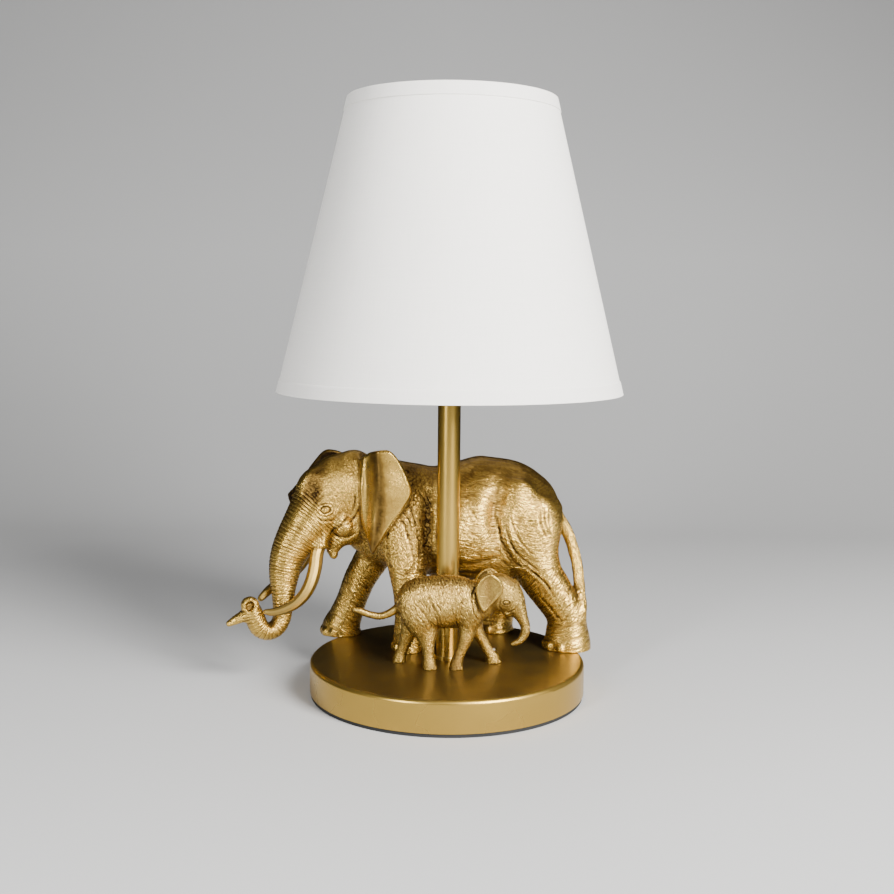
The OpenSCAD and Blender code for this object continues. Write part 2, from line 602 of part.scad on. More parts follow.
module bulb_cap() {
    rib = 3.6;
    color("silver") translate([0, 0, cap_z]) difference() {
        union() {
            cylinder(r = 12.3, h = cap_len);
            for (i = [0 : 4]) translate([0, 0, 2.4 + i * rib]) cylinder(r = cap_rib_r, h = 1.5);
        }
        translate([0, 0, 0.5]) cylinder(r = neck_r, h = cap_len);
    }
}

// Radius of the candle-shaped glass at height z above the lower end of its neck
function candle_r(z) = let (u = max(z - neck_len, 0) / (glass_len - neck_len))
    neck_r + (bulb_r - neck_r) * pow(sin(min(u / 0.4, 1) * 90), 2)
    - (u > 0.4 ? (bulb_r - 0.6) * pow((u - 0.4) / 0.6, 2.3) : 0);

module bulb_glass() {
    steps = 24;
    wall = 0.9;
    outer = [for (i = [0 : steps]) let (z = glass_len * i / steps) [candle_r(z), z]];
    inner = [for (i = [steps - 2 : -1 : 0]) let (z = glass_len * i / steps) [candle_r(z) - wall, z]];
    color([0.95, 0.95, 0.97, 0.35]) translate([0, 0, glass_z])
        rotate_extrude() polygon(concat(outer, [[0, glass_len], [0, glass_len - 3 * wall]], inner));
}

module bulb_stem() {
    flare_h = 16;
    color([0.9, 0.92, 0.95]) translate([0, 0, glass_z]) {
        cylinder(r1 = neck_r - 1, r2 = 3, h = flare_h);
        translate([0, 0, flare_h]) cylinder(r = glass_rod_r, h = 30);
    }
}

// Four upright filaments that lean outwards, their feet against the glass rod
module bulb_filaments() {
    filament_r = 0.8;
    lean = 4;
    color([0.95, 0.75, 0.3]) for (i = [0 : 3]) rotate([0, 0, 45 + i * 90])
        translate([glass_rod_r + filament_r + 0.05, 0, glass_z + 20]) rotate([0, lean, 0])
            cylinder(r = filament_r, h = 30);
}

base_cover();
base_weight();
base_pad();
cord_bushing();
rod_washer();
rod_nut();
threaded_rod();
stem_collar();
stem_tube();
stem_cap();
adult_elephant();
adult_left_tusk();
adult_right_tusk();
adult_screws();
calf_elephant();
calf_screws();
holder_cap();
cap_set_screw();
holder_skirt();
holder_insert();
screw_shell();
centre_contact();
terminal_screws();
switch_body();
switch_shaft();
switch_knob();
seat_ring();
clamp_ring();
fitter_plate();
shade_arms();
shade_bottom_wire();
shade_top_wire();
shade_cone();
shade_top_tape();
shade_bottom_tape();
bulb_contact();
bulb_insulator();
bulb_cap();
bulb_glass();
bulb_stem();
bulb_filaments();
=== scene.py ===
"""Looks of the elephant lamp: sculpted animals, laminated fabric shade, painted metal, holder and bulb."""

import json
import math

import bpy
import numpy as np
import openvdb
from mathutils import Matrix, Vector


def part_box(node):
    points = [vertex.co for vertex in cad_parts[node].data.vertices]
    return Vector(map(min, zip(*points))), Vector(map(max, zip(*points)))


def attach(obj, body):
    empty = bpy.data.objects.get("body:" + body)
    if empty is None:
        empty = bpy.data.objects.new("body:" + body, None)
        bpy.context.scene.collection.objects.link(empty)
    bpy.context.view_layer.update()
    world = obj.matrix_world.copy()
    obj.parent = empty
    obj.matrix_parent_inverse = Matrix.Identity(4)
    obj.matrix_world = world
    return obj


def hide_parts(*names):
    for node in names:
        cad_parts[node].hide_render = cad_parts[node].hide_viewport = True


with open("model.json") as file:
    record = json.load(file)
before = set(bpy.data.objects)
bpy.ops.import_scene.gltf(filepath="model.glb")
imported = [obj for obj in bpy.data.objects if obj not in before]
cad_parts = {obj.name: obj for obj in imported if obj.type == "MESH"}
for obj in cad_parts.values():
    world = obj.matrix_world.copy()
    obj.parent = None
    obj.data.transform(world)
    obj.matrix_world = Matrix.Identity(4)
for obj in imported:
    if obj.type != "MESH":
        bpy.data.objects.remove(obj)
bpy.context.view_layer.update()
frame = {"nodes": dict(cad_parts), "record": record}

MM = 0.001
NODES = frame["nodes"]
BASE_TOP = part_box("base_cover")[1][2] / MM
FAR = 40.0  # millimetres: a distance that counts as far away


def link(name, data):
    """A new object of the scene."""
    made = bpy.data.objects.new(name, data)
    bpy.context.scene.collection.objects.link(made)
    return made


def smooth_object(name, points, faces, look):
    mesh = bpy.data.meshes.new(name)
    mesh.from_pydata(np.asarray(points).tolist(), [], np.asarray(faces).tolist())
    mesh.polygons.foreach_set("use_smooth", np.ones(len(faces), bool))
    mesh.materials.append(look)
    return link(name, mesh)


# ---- camera


CAMERA_AT = (-0.0012, -0.7047, 0.2315)
LENS, SENSOR = 48.2, 36  # millimetres
LOOK_DOWN, ROLL = 6.72, 0.55  # degrees


def add_camera():
    """The photograph's viewpoint: between the shade's two edges in height, looking down a little."""
    data = bpy.data.cameras.new("camera")
    data.sensor_width = SENSOR
    data.lens = LENS
    camera = link("camera", data)
    pitch = Matrix.Rotation(math.radians(90 - LOOK_DOWN), 4, "X")
    roll = Matrix.Rotation(math.radians(ROLL), 4, "Z")
    camera.matrix_world = Matrix.Translation(CAMERA_AT) @ pitch @ roll
    bpy.context.scene.camera = camera


# ---- numbers and noise


def turned(u, w, degrees):
    c, s = math.cos(math.radians(degrees)), math.sin(math.radians(degrees))
    return c * u + s * w, -s * u + c * w


def columns(*values):
    return np.stack(values, 1)


def unit(v):
    return v / np.maximum(np.linalg.norm(v, axis=-1, keepdims=True), 1e-9)


def ease(low, high, x):
    """0 up to low, 1 from high on, and a smooth step between; with low over high it runs the other way."""
    t = np.clip((x - low) / (high - low), 0, 1)
    return t * t * (3 - 2 * t)


def hump(x, middle, width):
    """A bell curve: 1 at the middle, 0.37 one width away."""
    return np.exp(-(((x - middle) / width) ** 2))


CELLS = 32  # the noise repeats after so many units
LATTICE = np.random.default_rng(7).random((CELLS,) * 3).astype(np.float32)


def noise(p):
    """Smooth noise from 0 to 1, with one feature per unit of p."""
    cell = np.floor(p).astype(int)
    t = p - cell
    t = t * t * (3 - 2 * t)
    total = 0
    for corner in np.ndindex(2, 2, 2):
        share = np.prod([t[:, k] if corner[k] else 1 - t[:, k] for k in range(3)], axis=0)
        i, j, k = ((cell[:, a] + corner[a]) % CELLS for a in range(3))
        total = total + share * LATTICE[i, j, k]
    return total


def layered(p):
    """Smooth noise with two finer and weaker copies of itself on top."""
    return (noise(p) + noise(p * 2 + 5) / 2 + noise(p * 4 + 10) / 4) / 1.75


def furrows(p, width):
    """Thin winding valleys, 0 on the skin and -1 at their bottom."""
    return -hump(noise(p), 0.5, width)


def cracks(p, width):
    """A net of valleys between rounded cells one unit across: -1 at the bottom of a valley, 0 on a cell."""
    cell = np.floor(p).astype(int)
    first = np.full(len(p), 9.0)
    second = np.full(len(p), 9.0)
    for step in np.ndindex(3, 3, 3):
        i, j, k = ((cell[:, a] + step[a] - 1) % CELLS for a in range(3))
        seed = columns(LATTICE[i, j, k], LATTICE[j, k, i], LATTICE[k, i, j])
        gap = np.linalg.norm(cell + np.array(step) - 1 + seed - p, axis=1)
        second = np.minimum(second, np.maximum(first, gap))
        first = np.minimum(first, gap)
    return -hump(second - first, 0, width)


PER_STATION = 6  # steps between the points of a given line


def catmull_rom(points):
    """A smooth line through the points, with PER_STATION steps between each pair."""
    s = np.array(points, float)
    out = []
    for i in range(len(s) - 1):
        a, b, c, d = s[max(i - 1, 0)], s[i], s[i + 1], s[min(i + 2, len(s) - 1)]
        for t in np.arange(PER_STATION) / PER_STATION:
            square, cube = (2 * a - 5 * b + 4 * c - d) * t**2, (3 * b - a - 3 * c + d) * t**3
            out.append(0.5 * (2 * b + (c - a) * t + square + cube))
    return np.array(out + [s[-1]])


def closed_ring(outline):
    return catmull_rom(outline + outline[:1])[:-1]


# ---- clay: distance fields that blend


CAP_ANGLES = (0.4, 0.8, 1.2, 1.5)  # of the rings in a limb's rounded end


class Limb:
    """A lofted limb. Stations are [x, y, z, half-width, half-depth]; side is the direction of the width,
    start and end are how far the rounded ends stand out, and blend is how softly it joins the rest."""

    def __init__(self, stations, side=(0, 1, 0), start=2.0, end=2.0, blend=7.0):
        self.dense = catmull_rom(stations)
        side = np.array(side, float)
        self.start, self.end, self.blend = start, end, blend
        self.centre = self.dense[:, :3]
        self.tangent = unit(np.gradient(self.centre, axis=0))
        steps = np.linalg.norm(np.diff(self.centre, axis=0), axis=1)
        self.length = np.concatenate([[0], np.cumsum(steps)])
        self.across = unit(side - (self.tangent @ side)[:, None] * self.tangent)
        self.deep = np.cross(self.tangent, self.across)

    def mesh(self):
        """Closed loft with rounded ends: points and triangles."""
        n = 40  # points in a ring
        angle = np.linspace(0, 2 * np.pi, n, endpoint=False)
        last = len(self.centre) - 1
        rows = [(0, -self.start * math.sin(a), math.cos(a)) for a in reversed(CAP_ANGLES)]
        rows += [(i, 0.0, 1.0) for i in range(last + 1)]
        rows += [(last, self.end * math.sin(a), math.cos(a)) for a in CAP_ANGLES]
        rings = []
        for i, shift, share in rows:
            wide = np.cos(angle)[:, None] * self.across[i] * self.dense[i, 3] * share
            high = np.sin(angle)[:, None] * self.deep[i] * self.dense[i, 4] * share
            rings.append(self.centre[i] + shift * self.tangent[i] + wide + high)
        points = np.concatenate(rings + [[rings[0].mean(0)], [rings[-1].mean(0)]])
        j = np.arange(n)
        k = (j + 1) % n
        faces = []
        for r in range(len(rows) - 1):
            a, b = r * n + j, r * n + k
            faces += [columns(a, b, b + n), columns(a, b + n, a + n)]
        first, final = len(points) - 2, len(points) - 1
        top = (len(rows) - 1) * n
        faces += [columns(k, j, 0 * j + first), columns(top + j, top + k, 0 * j + final)]
        return points, np.concatenate(faces)

    def local(self, p, reach=4.0):
        """For each point: millimetres along the limb, angle round it, and distance from its middle
        over its radius."""
        gap = p[:, None, :] - self.centre[None]
        square = (gap**2).sum(2)
        nearest = square.argmin(1)
        weight = np.exp(-(square - square.min(1, keepdims=True)) / (2 * reach * reach))
        weight /= weight.sum(1, keepdims=True)
        along = (weight * (self.length[None] + (gap * self.tangent[None]).sum(2))).sum(1)
        rows = np.arange(len(p))
        wide = (gap[rows, nearest] * self.across[nearest]).sum(1) / self.dense[nearest, 3]
        high = (gap[rows, nearest] * self.deep[nearest]).sum(1) / self.dense[nearest, 4]
        return along, np.arctan2(high, wide), np.hypot(wide, high)


def joined(first, second, blend):
    """The smaller of two distances, with a fillet where they are within `blend` of each other."""
    share = np.clip(1 - np.abs(first - second) / blend, 0, 1)
    return np.minimum(first, second) - share * share * blend / 4


class Clay:
    """A block of signed distances in millimetres. A shape is a window in the block and distances in it."""

    def __init__(self, low, high, voxel):
        self.voxel = voxel
        self.low = np.floor(np.array(low) / voxel).astype(int)
        self.shape = tuple(np.ceil(np.array(high) / voxel).astype(int) - self.low)
        self.value = np.full(self.shape, FAR, np.float32)
        self.transform = openvdb.createLinearTransform(voxelSize=voxel)

    def window(self, low, high):
        """Slices that cover the box, and its x, y and z as a sparse grid."""
        first = np.clip(np.floor(np.array(low) / self.voxel).astype(int) - self.low, 0, self.shape)
        last = np.clip(np.ceil(np.array(high) / self.voxel).astype(int) - self.low, 0, self.shape)
        spans = list(zip(self.low, first, last))
        axes = [((low + np.arange(a, b)) * self.voxel).astype(np.float32) for low, a, b in spans]
        return tuple(slice(a, b) for _, a, b in spans), np.meshgrid(*axes, indexing="ij", sparse=True)

    def of_limb(self, limb, reach):
        points, triangles = limb.mesh()
        where, _ = self.window(points.min(0) - reach, points.max(0) + reach)
        grid = openvdb.FloatGrid.createLevelSetFromPolygons(
            points.astype(np.float32), triangles=triangles.astype(np.uint32), transform=self.transform,
            halfWidth=reach / self.voxel)
        field = np.empty(tuple(s.stop - s.start for s in where), np.float32)
        grid.copyToArray(field, ijk=tuple(int(v + s.start) for v, s in zip(self.low, where)))
        field[field >= 0.99 * reach] = FAR
        return where, field

    def of_ball(self, centre, radii, turn=0.0, margin=7.0):
        """Ellipsoid, turned about the Y axis by `turn` degrees."""
        size = np.array([max(radii)] * 3) + margin
        where, (x, y, z) = self.window(np.array(centre) - size, np.array(centre) + size)
        u, w = turned(x - centre[0], z - centre[2], turn)
        dy = y - centre[1]
        near = np.sqrt((u / radii[0]) ** 2 + (dy / radii[1]) ** 2 + (w / radii[2]) ** 2)
        steep = np.sqrt((u / radii[0] ** 2) ** 2 + (dy / radii[1] ** 2) ** 2 + (w / radii[2] ** 2) ** 2)
        return where, (near * (near - 1) / np.maximum(steep, 1e-6)).astype(np.float32)

    def of_ear(self, outline, middle, thick, low, high):
        """A sheet along y = middle(x, z), inside the outline and between two depths, with a rounded rim."""
        ring = closed_ring(outline)
        margin = 4
        least, most = ring.min(0) - margin, ring.max(0) + margin
        where, (x, y, z) = self.window((least[0], low, least[1]), (most[0], high, most[1]))
        flat = outline_distance(ring, x, z).astype(np.float32)
        lean = 0.72  # distance from a slanting sheet, over distance along Y
        rim = thick * (lean + 0.12 * hump(flat, -1.2, 1.2))
        sheet = np.abs(y - middle(x, z)) * lean - rim
        return where, -joined(-sheet, -flat, 1.8).astype(np.float32)

    def add(self, shape, blend):
        where, field = shape
        self.value[where] = joined(self.value[where], field, blend)

    def add_limbs(self, limbs, reach):
        for limb in limbs.values():
            self.add(self.of_limb(limb, reach), limb.blend)

    def add_balls(self, balls):
        """Swellings: each is its centre, radii, turn and blend."""
        for centre, radii, turn, blend in balls:
            self.add(self.of_ball(centre, radii, turn), blend)

    def cut(self, shape, blend):
        where, field = shape
        self.value[where] = -joined(-self.value[where], field, blend)

    def flatten_below(self, level):
        """Everything under the height `level` is cut away."""
        z = ((self.low[2] + np.arange(self.shape[2])) * self.voxel).astype(np.float32)
        self.value = np.maximum(self.value, level - z)

    def surface(self):
        """Points and quads of the skin, with the quads facing out."""
        far = 3 * self.voxel
        grid = openvdb.FloatGrid(far)
        grid.copyFromArray(np.clip(self.value, -far, far), ijk=tuple(int(v) for v in self.low))
        grid.transform = self.transform
        points, quads = grid.convertToQuads(isovalue=0.0)
        points, quads = points.astype(float), quads.astype(np.int64)
        a, b, c, d = (points[quads[:, k]] for k in range(4))
        volume = (a * (np.cross(b, c) + np.cross(c, d))).sum()
        return points, quads if volume > 0 else quads[:, ::-1]


def to_segment(x, z, a, b):
    """How far along the segment from a to b the nearest point is (0 to 1), and its distance squared."""
    wide, high = b - a
    t = np.clip(((x - a[0]) * wide + (z - a[1]) * high) / (wide**2 + high**2 + 1e-9), 0, 1)
    return t, (x - a[0] - t * wide) ** 2 + (z - a[1] - t * high) ** 2


def outline_distance(outline, x, z):
    """Signed distance in the X-Z plane to a closed outline, negative inside."""
    best = np.full(np.broadcast(x, z).shape, 1e9)
    inside = np.zeros(best.shape, bool)
    for a, b in zip(outline, np.roll(outline, -1, axis=0)):
        best = np.minimum(best, to_segment(x, z, a, b)[1])
        wide, high = b - a
        inside ^= ((a[1] > z) != (b[1] > z)) & (x < wide * (z - a[1]) / (high + 1e-9) + a[0])
    return np.where(inside, -1, 1) * np.sqrt(best)


# ---- marks pressed into the skin


def line_place(p, line):
    """Distance in the X-Z plane from each point to a smooth line, and the share of the line up to there."""
    s = catmull_rom(line)
    best, share = np.full(len(p), 1e9), np.zeros(len(p))
    for i, (a, b) in enumerate(zip(s[:-1], s[1:])):
        t, gap = to_segment(p[:, 0], p[:, 2], a, b)
        share = np.where(gap < best, (i + t) / (len(s) - 1), share)
        best = np.minimum(best, gap)
    return np.sqrt(best), share


def crease(p, line, depth, width):
    """A valley along the line that fades at both ends, with a soft swell on each side."""
    d, share = line_place(p, line)
    fade = np.clip(np.sin(np.pi * np.clip(share, 0.001, 0.999)) * 1.6, 0, 1)
    return fade * depth * (0.45 * hump(d, 2.2 * width, 1.2 * width) - hump(d, 0, width))


def dent(p, x, z, wide, high, turn, depth):
    """A soft hollow seen along Y, or with a negative depth a bump."""
    u, w = turned(p[:, 0] - x, p[:, 2] - z, turn)
    return -depth * np.exp(-((u / wide) ** 2) - (w / high) ** 2)


def eye_marks(u, w, size):
    """Eyeball in an almond opening with a lid fold; u and w run from the eye's middle."""
    almond = np.hypot(u / (1.3 * size), w / size)
    ball = 0.30 * size * np.clip(1 - almond**2, 0, 1)
    slit = -0.13 * size * hump(almond, 1.02, 0.17)
    lid = 0.13 * size * hump(almond, 1.42, 0.22)
    fold = -0.07 * size * hump(almond, 1.85, 0.2)
    return ball + slit + lid + fold


# ---- skin: mesh, wrinkles, patina


def vertex_normals(points, quads):
    a, b, c, d = (points[quads[:, k]] for k in range(4))
    face = np.cross(c - a, d - b)
    normal = np.zeros_like(points)
    for k in range(4):
        for axis in range(3):
            normal[:, axis] += np.bincount(quads[:, k], face[:, axis], len(points))
    return unit(normal)


def relax(values, quads, times):
    """Values averaged with their neighbours."""
    edges = np.concatenate([quads[:, [k, (k + 1) % 4]] for k in range(4)])
    here, there = np.concatenate([edges, edges[:, ::-1]]).T
    count = np.bincount(here, minlength=len(values))
    flat = values.reshape(len(values), -1)
    for _ in range(times):
        around = columns(*(np.bincount(here, flat[there, k], len(flat)) for k in range(flat.shape[1])))
        flat = 0.5 * flat + 0.5 * around / count[:, None]
    return flat.reshape(values.shape)


def skin_object(name, points, quads, attributes, look):
    """A smooth mesh in metres, with attributes for its material: numbers, or vectors of three columns."""
    piece = smooth_object(name, (points + (0, 0, BASE_TOP)) * MM, quads, look)
    for key, values in attributes.items():
        kind, field = ("FLOAT", "value") if values.ndim == 1 else ("FLOAT_VECTOR", "vector")
        attribute = piece.data.attributes.new(key, kind, "POINT")
        attribute.data.foreach_set(field, values.astype(np.float32).ravel())
    return piece


BARE_AGE = 0.20  # patina on smooth open skin


def patina_and_painted_shade(points, quads, height):
    """Share of dark patina and painted shade from 0 to 1: patina at the bottom of furrows, and painted shade
    in the folds between limbs.
    """
    normal = vertex_normals(points, quads)
    # painted shade: darker where the skin curves in, as in the folds between limbs; fine is the patina in
    # furrows
    hollow = ((relax(points, quads, 16) - points) * normal).sum(1)
    fine = relax(height, quads, 6) - height
    return np.clip(BARE_AGE + 2.2 * fine + 1.2 * hollow, 0, 1)


# ---- adult elephant, walking to -X

HEAD_SIDE = (0.47, -0.88, 0)
HEAD_AT = np.array([-72, 26, 0])
ADULT_VOXEL = 0.52

ADULT = {
    "torso": Limb([
        [69.6, 41, 74, 5, 8], [68, 41, 74.2, 11.6, 12.6], [63, 41, 75.4, 18.6, 17.3],
        [52.4, 40.5, 79, 24.6, 27.3], [40, 40, 80.4, 27.5, 35.3], [25, 39, 78.4, 28.5, 40.0],
        [8, 38.5, 76.9, 28, 38], [-10, 37.5, 77, 26, 34.7], [-25, 36, 79.2, 23, 33.8],
        [-38, 34.5, 82, 20, 31.2], [-50, 33, 86, 17, 28]], start=1.6, end=12, blend=0.01),
    "neck": Limb([
        [-30, 35, 86, 17, 26], [-44, 33, 93, 18, 25], [-56, 31, 98, 17.5, 22],
        [-64, 29, 102, 15, 17]], start=4, end=8),
    "face": Limb([
        [-55, 31, 110, 12, 9], [-63.5, 28.5, 104, 16, 17], [-72, 26, 94, 17, 20.5],
        [-80.3, 22.5, 84, 16, 19.1], [-88.4, 19, 74, 13.6, 15.3], [-94.5, 16.5, 65, 11.6, 12.7],
        [-98.4, 14.5, 56, 10, 10.9], [-100, 12.5, 46, 8.6, 9.3], [-100.3, 11, 37, 7.4, 7.4],
        [-100.5, 10, 29, 6.3, 6.3], [-101, 9, 21, 5.8, 5.6], [-104, 7.5, 15.2, 5.6, 5.4],
        [-109, 5, 13.4, 5.8, 5.5], [-113.6, 2.5, 16.4, 6.2, 5.9], [-116, 1, 22.5, 6.2, 6],
        [-118, 0, 28.8, 5.6, 5.4], [-118.8, -0.4, 32, 4.4, 4.2]], side=HEAD_SIDE, start=6, end=3, blend=6),
    "finger": Limb([
        [-117, 0.2, 27.5, 4.4, 4.2], [-122.6, -1.8, 24.6, 3.8, 3.5], [-127.6, -3.4, 22.2, 3, 2.7],
        [-131.2, -4.6, 20.4, 2, 1.8]], side=HEAD_SIDE, end=1.4, blend=3),
    "jaw": Limb([
        [-54, 29, 80, 12, 14], [-62, 26.5, 74, 12, 11.5], [-69, 24, 67, 9, 7],
        [-71.5, 22.5, 60, 4.6, 3.6]], side=HEAD_SIDE, start=4, end=3, blend=3),
    "left_sheath": Limb([
        [-73, 18, 84, 5, 5], [-76.2, 15.4, 74, 5.2, 5.4], [-77.8, 14.2, 68, 4.8, 4.9],
        [-78.5, 13.7, 65.4, 5.6, 5.6], [-78.8, 13.4, 63.6, 4.9, 5]], start=4, end=0.6, blend=1.6),
    "right_sheath": Limb([
        [-83, 33, 82, 5, 5], [-86, 33, 72, 5.2, 5.4], [-87, 32.6, 66, 4.8, 4.9],
        [-87.2, 32.4, 63.6, 5.4, 5.4], [-87.4, 32.2, 62, 4.8, 4.8]], start=4, end=0.6, blend=1.6),
    "left_fore": Limb([
        [-30, 27, 92, 10, 19], [-28, 23, 78, 11, 17.5], [-26.5, 19.5, 66, 10.5, 15], [-25, 17, 55, 9.8, 12.8],
        [-24, 15.5, 44, 9, 11.2], [-23.6, 15, 34, 8.6, 9.7], [-23.8, 14.5, 22, 8.4, 8.7],
        [-23.8, 14, 12, 8.6, 9.0], [-23.6, 14, 5, 9.6, 9.8], [-23.6, 14, -2, 10.0, 10.2]], start=6),
    "right_fore": Limb([
        [-34, 43, 88, 9, 18], [-38, 45, 72, 9.5, 15], [-44, 47, 58, 9.3, 12.5], [-51, 48, 46, 9, 11],
        [-56.5, 48.5, 36, 8.7, 10.3], [-61.5, 49, 23, 8.6, 9.8], [-65.5, 49.5, 12, 9, 10.8],
        [-68, 50, 5, 10, 12.6], [-68.5, 50, -2, 10.4, 13.2]], start=6),
    "left_hind": Limb([
        [50, 31, 86, 12, 19], [50.6, 28, 74, 13.5, 19.2], [52.4, 25.5, 60, 13.5, 16.5],
        [57, 23.5, 47, 12.8, 14.3], [64.3, 22.5, 36, 11.6, 13.2], [71, 22, 26, 10.8, 12.4],
        [74, 22, 18, 10.8, 12.3], [74.6, 22, 10, 11.6, 13.6], [74.8, 22, 4, 12.8, 14.6],
        [74.8, 22, -2, 13.2, 15.0]], start=6),
    "right_hind": Limb([
        [50, 51, 84, 12, 17], [47, 54, 72, 13, 17], [43, 56, 58, 12, 14], [39, 58, 46, 10.6, 12],
        [37.5, 60, 34, 9.8, 10.6], [36, 61, 22, 9.6, 10], [33, 62, 11, 10, 11], [31, 62, 4, 11, 12.6],
        [31, 62, -2, 11.4, 13]], start=6),
    "tail": Limb([
        [66, 41, 79.4, 4.4, 4.6], [71.3, 41, 76, 3.9, 4.2], [75.8, 39.5, 68.6, 3.5, 3.8],
        [78.8, 36.5, 60, 3.4, 3.7], [81.0, 32.5, 51, 3.3, 3.6], [82.0, 28, 41, 3.3, 3.6],
        [82.4, 23.5, 33.5, 3.5, 3.6], [82.8, 20, 26, 3.9, 3.9], [83, 19, 19.5, 2.8, 2.8]], end=3, blend=2.5),
}
LEGS = ("left_fore", "right_fore", "left_hind", "right_hind")
ADULT_FEET = ((-23.6, 14, 9.8, 10.0), (-68.5, 50, 10, 12.6), (74.8, 22, 12.8, 14.8), (31, 62, 11.2, 12.6))

ADULT_LEFT_EAR = [
    (-54.5, 117.6), (-48, 123), (-40.8, 125), (-34.5, 124), (-28.2, 115.8), (-23.4, 105), (-22.3, 98.4),
    (-25, 91.8), (-32, 82.8), (-38, 73), (-41.8, 66.2), (-46, 60.8), (-49.4, 68.5), (-51.8, 78), (-53, 90),
    (-54, 104)]
ADULT_RIGHT_EAR = [
    (-62, 117), (-71, 120.2), (-79, 119.6), (-86.4, 111.6), (-94, 101), (-101, 93), (-105, 87), (-101, 78),
    (-93, 68), (-84, 60), (-77, 58), (-70, 65), (-66, 77), (-62, 96)]


def left_ear_middle(x, z):
    """The near ear leaves the head in a valley, swells to a rounded crest, then falls back to its rim."""
    low = np.clip((118 - z) / 57, 0, 1)
    valley = -51.4 - 2.0 * np.sin(np.pi * low) + 1.6 * low
    crest = -41.6 + 1.4 * np.sin(np.pi * np.minimum(1.6 * low, 1)) - 4.6 * low**2
    share = np.clip((x - valley) / (crest - valley), 0, 1)
    rise = 0.5 - 0.5 * np.cos(np.pi * share)
    top = 5.6 + 3.0 * low**2
    beyond = np.maximum(x - crest, 0)
    before = np.maximum(valley - x, 0)
    slope = 0.42 * beyond**2 / (beyond + 13)
    ripple = 0.5 * np.sin((z - 64) / 5.5 + 0.9 + 0.08 * x) * ease(-8, 4, x - crest)
    return 13.0 - (13.0 - top) * rise + slope + ripple + 1.1 * before


def right_ear_middle(x, z):
    spread = (-x - 62) / 43
    return 42 + 27 * spread - 5 * np.sin(np.pi * np.clip(spread, 0, 1)) + 0.7 * np.sin((z - 60) / 6)


def add_toes(clay, foot, count, size, heading, blend):
    """Nails round the front of a foot: foot is (x, y, half-width, half-length)."""
    x, y, wide, deep = foot
    for a in np.radians(np.linspace(-68, 68, count)):
        at = (x + heading * (deep - 0.5 * size) * math.cos(a), y + (wide - 0.45 * size) * math.sin(a), size)
        clay.add(clay.of_ball(at, (size * 0.95, size * 0.95, size * 1.15), margin=1.5), 0.4 * size)


def adult_clay():
    clay = Clay((-137, -9, -4), (94, 76, 129), ADULT_VOXEL)
    clay.add_limbs(ADULT, 7.0)
    clay.add_balls((
        ((-33, 19.5, 86), (11, 8, 24), 12, 6),  # shoulder blade
        ((-34, 52, 84), (11, 8, 22), 12, 6),
        ((43, 19.5, 96), (9, 6, 9), 0, 7),  # hip bone
        ((43.5, 60.5, 95), (9, 6, 9), 0, 8),
        ((54, 22.5, 73), (12.4, 9, 21), -10, 7),  # thigh
        ((51, 58, 72), (14, 9, 22), -10, 7),
        ((9, 20, 71), (17, 10, 20), 0, 7),  # belly
        ((12, 58, 70), (18, 10, 20), 0, 7),
        ((38, 30, 52), (9, 8, 8), 30, 7),  # groin
        ((62.5, 41, 83), (8.4, 9, 9), 0, 5),  # root of the tail
        ((-60, 27, 114), (10, 9, 8), 20, 5),  # crown
        ((-64.2, 15.0, 77.5), (5.8, 5, 7), 20, 2),  # cheek
        ((-78.6, 13.6, 94.4), (8, 3.6, 3.0), 14, 3),  # brow
        ((-91, 33.5, 94.4), (8, 3.6, 3.0), 14, 3),
        ((-84, 20, 103), (7, 8, 10), -40, 5),  # forehead
        ((-72, 28, 110), (9, 9, 8), 20, 5),
        ((-118.4, -3.0, 31.4), (5.6, 4.0, 5.6), 0, 1.2),  # rim of the trunk's opening
        ((-70.6, 22.6, 57.4), (2.6, 4.2, 2.6), 0, 1.5),  # lower lip
    ))
    clay.add(clay.of_ear(ADULT_LEFT_EAR, left_ear_middle, 1.35, -2, 24), 5)
    clay.add(clay.of_ear(ADULT_RIGHT_EAR, right_ear_middle, 1.35, 36, 76), 2.2)
    clay.cut(clay.of_ball((-118.0, -8.0, 31.6), (2.9, 4.6, 3.7), -20), 0.8)
    for foot in ADULT_FEET:
        add_toes(clay, foot, 5, 2.7, -1, 1.2)
    clay.flatten_below(0.0)
    return clay


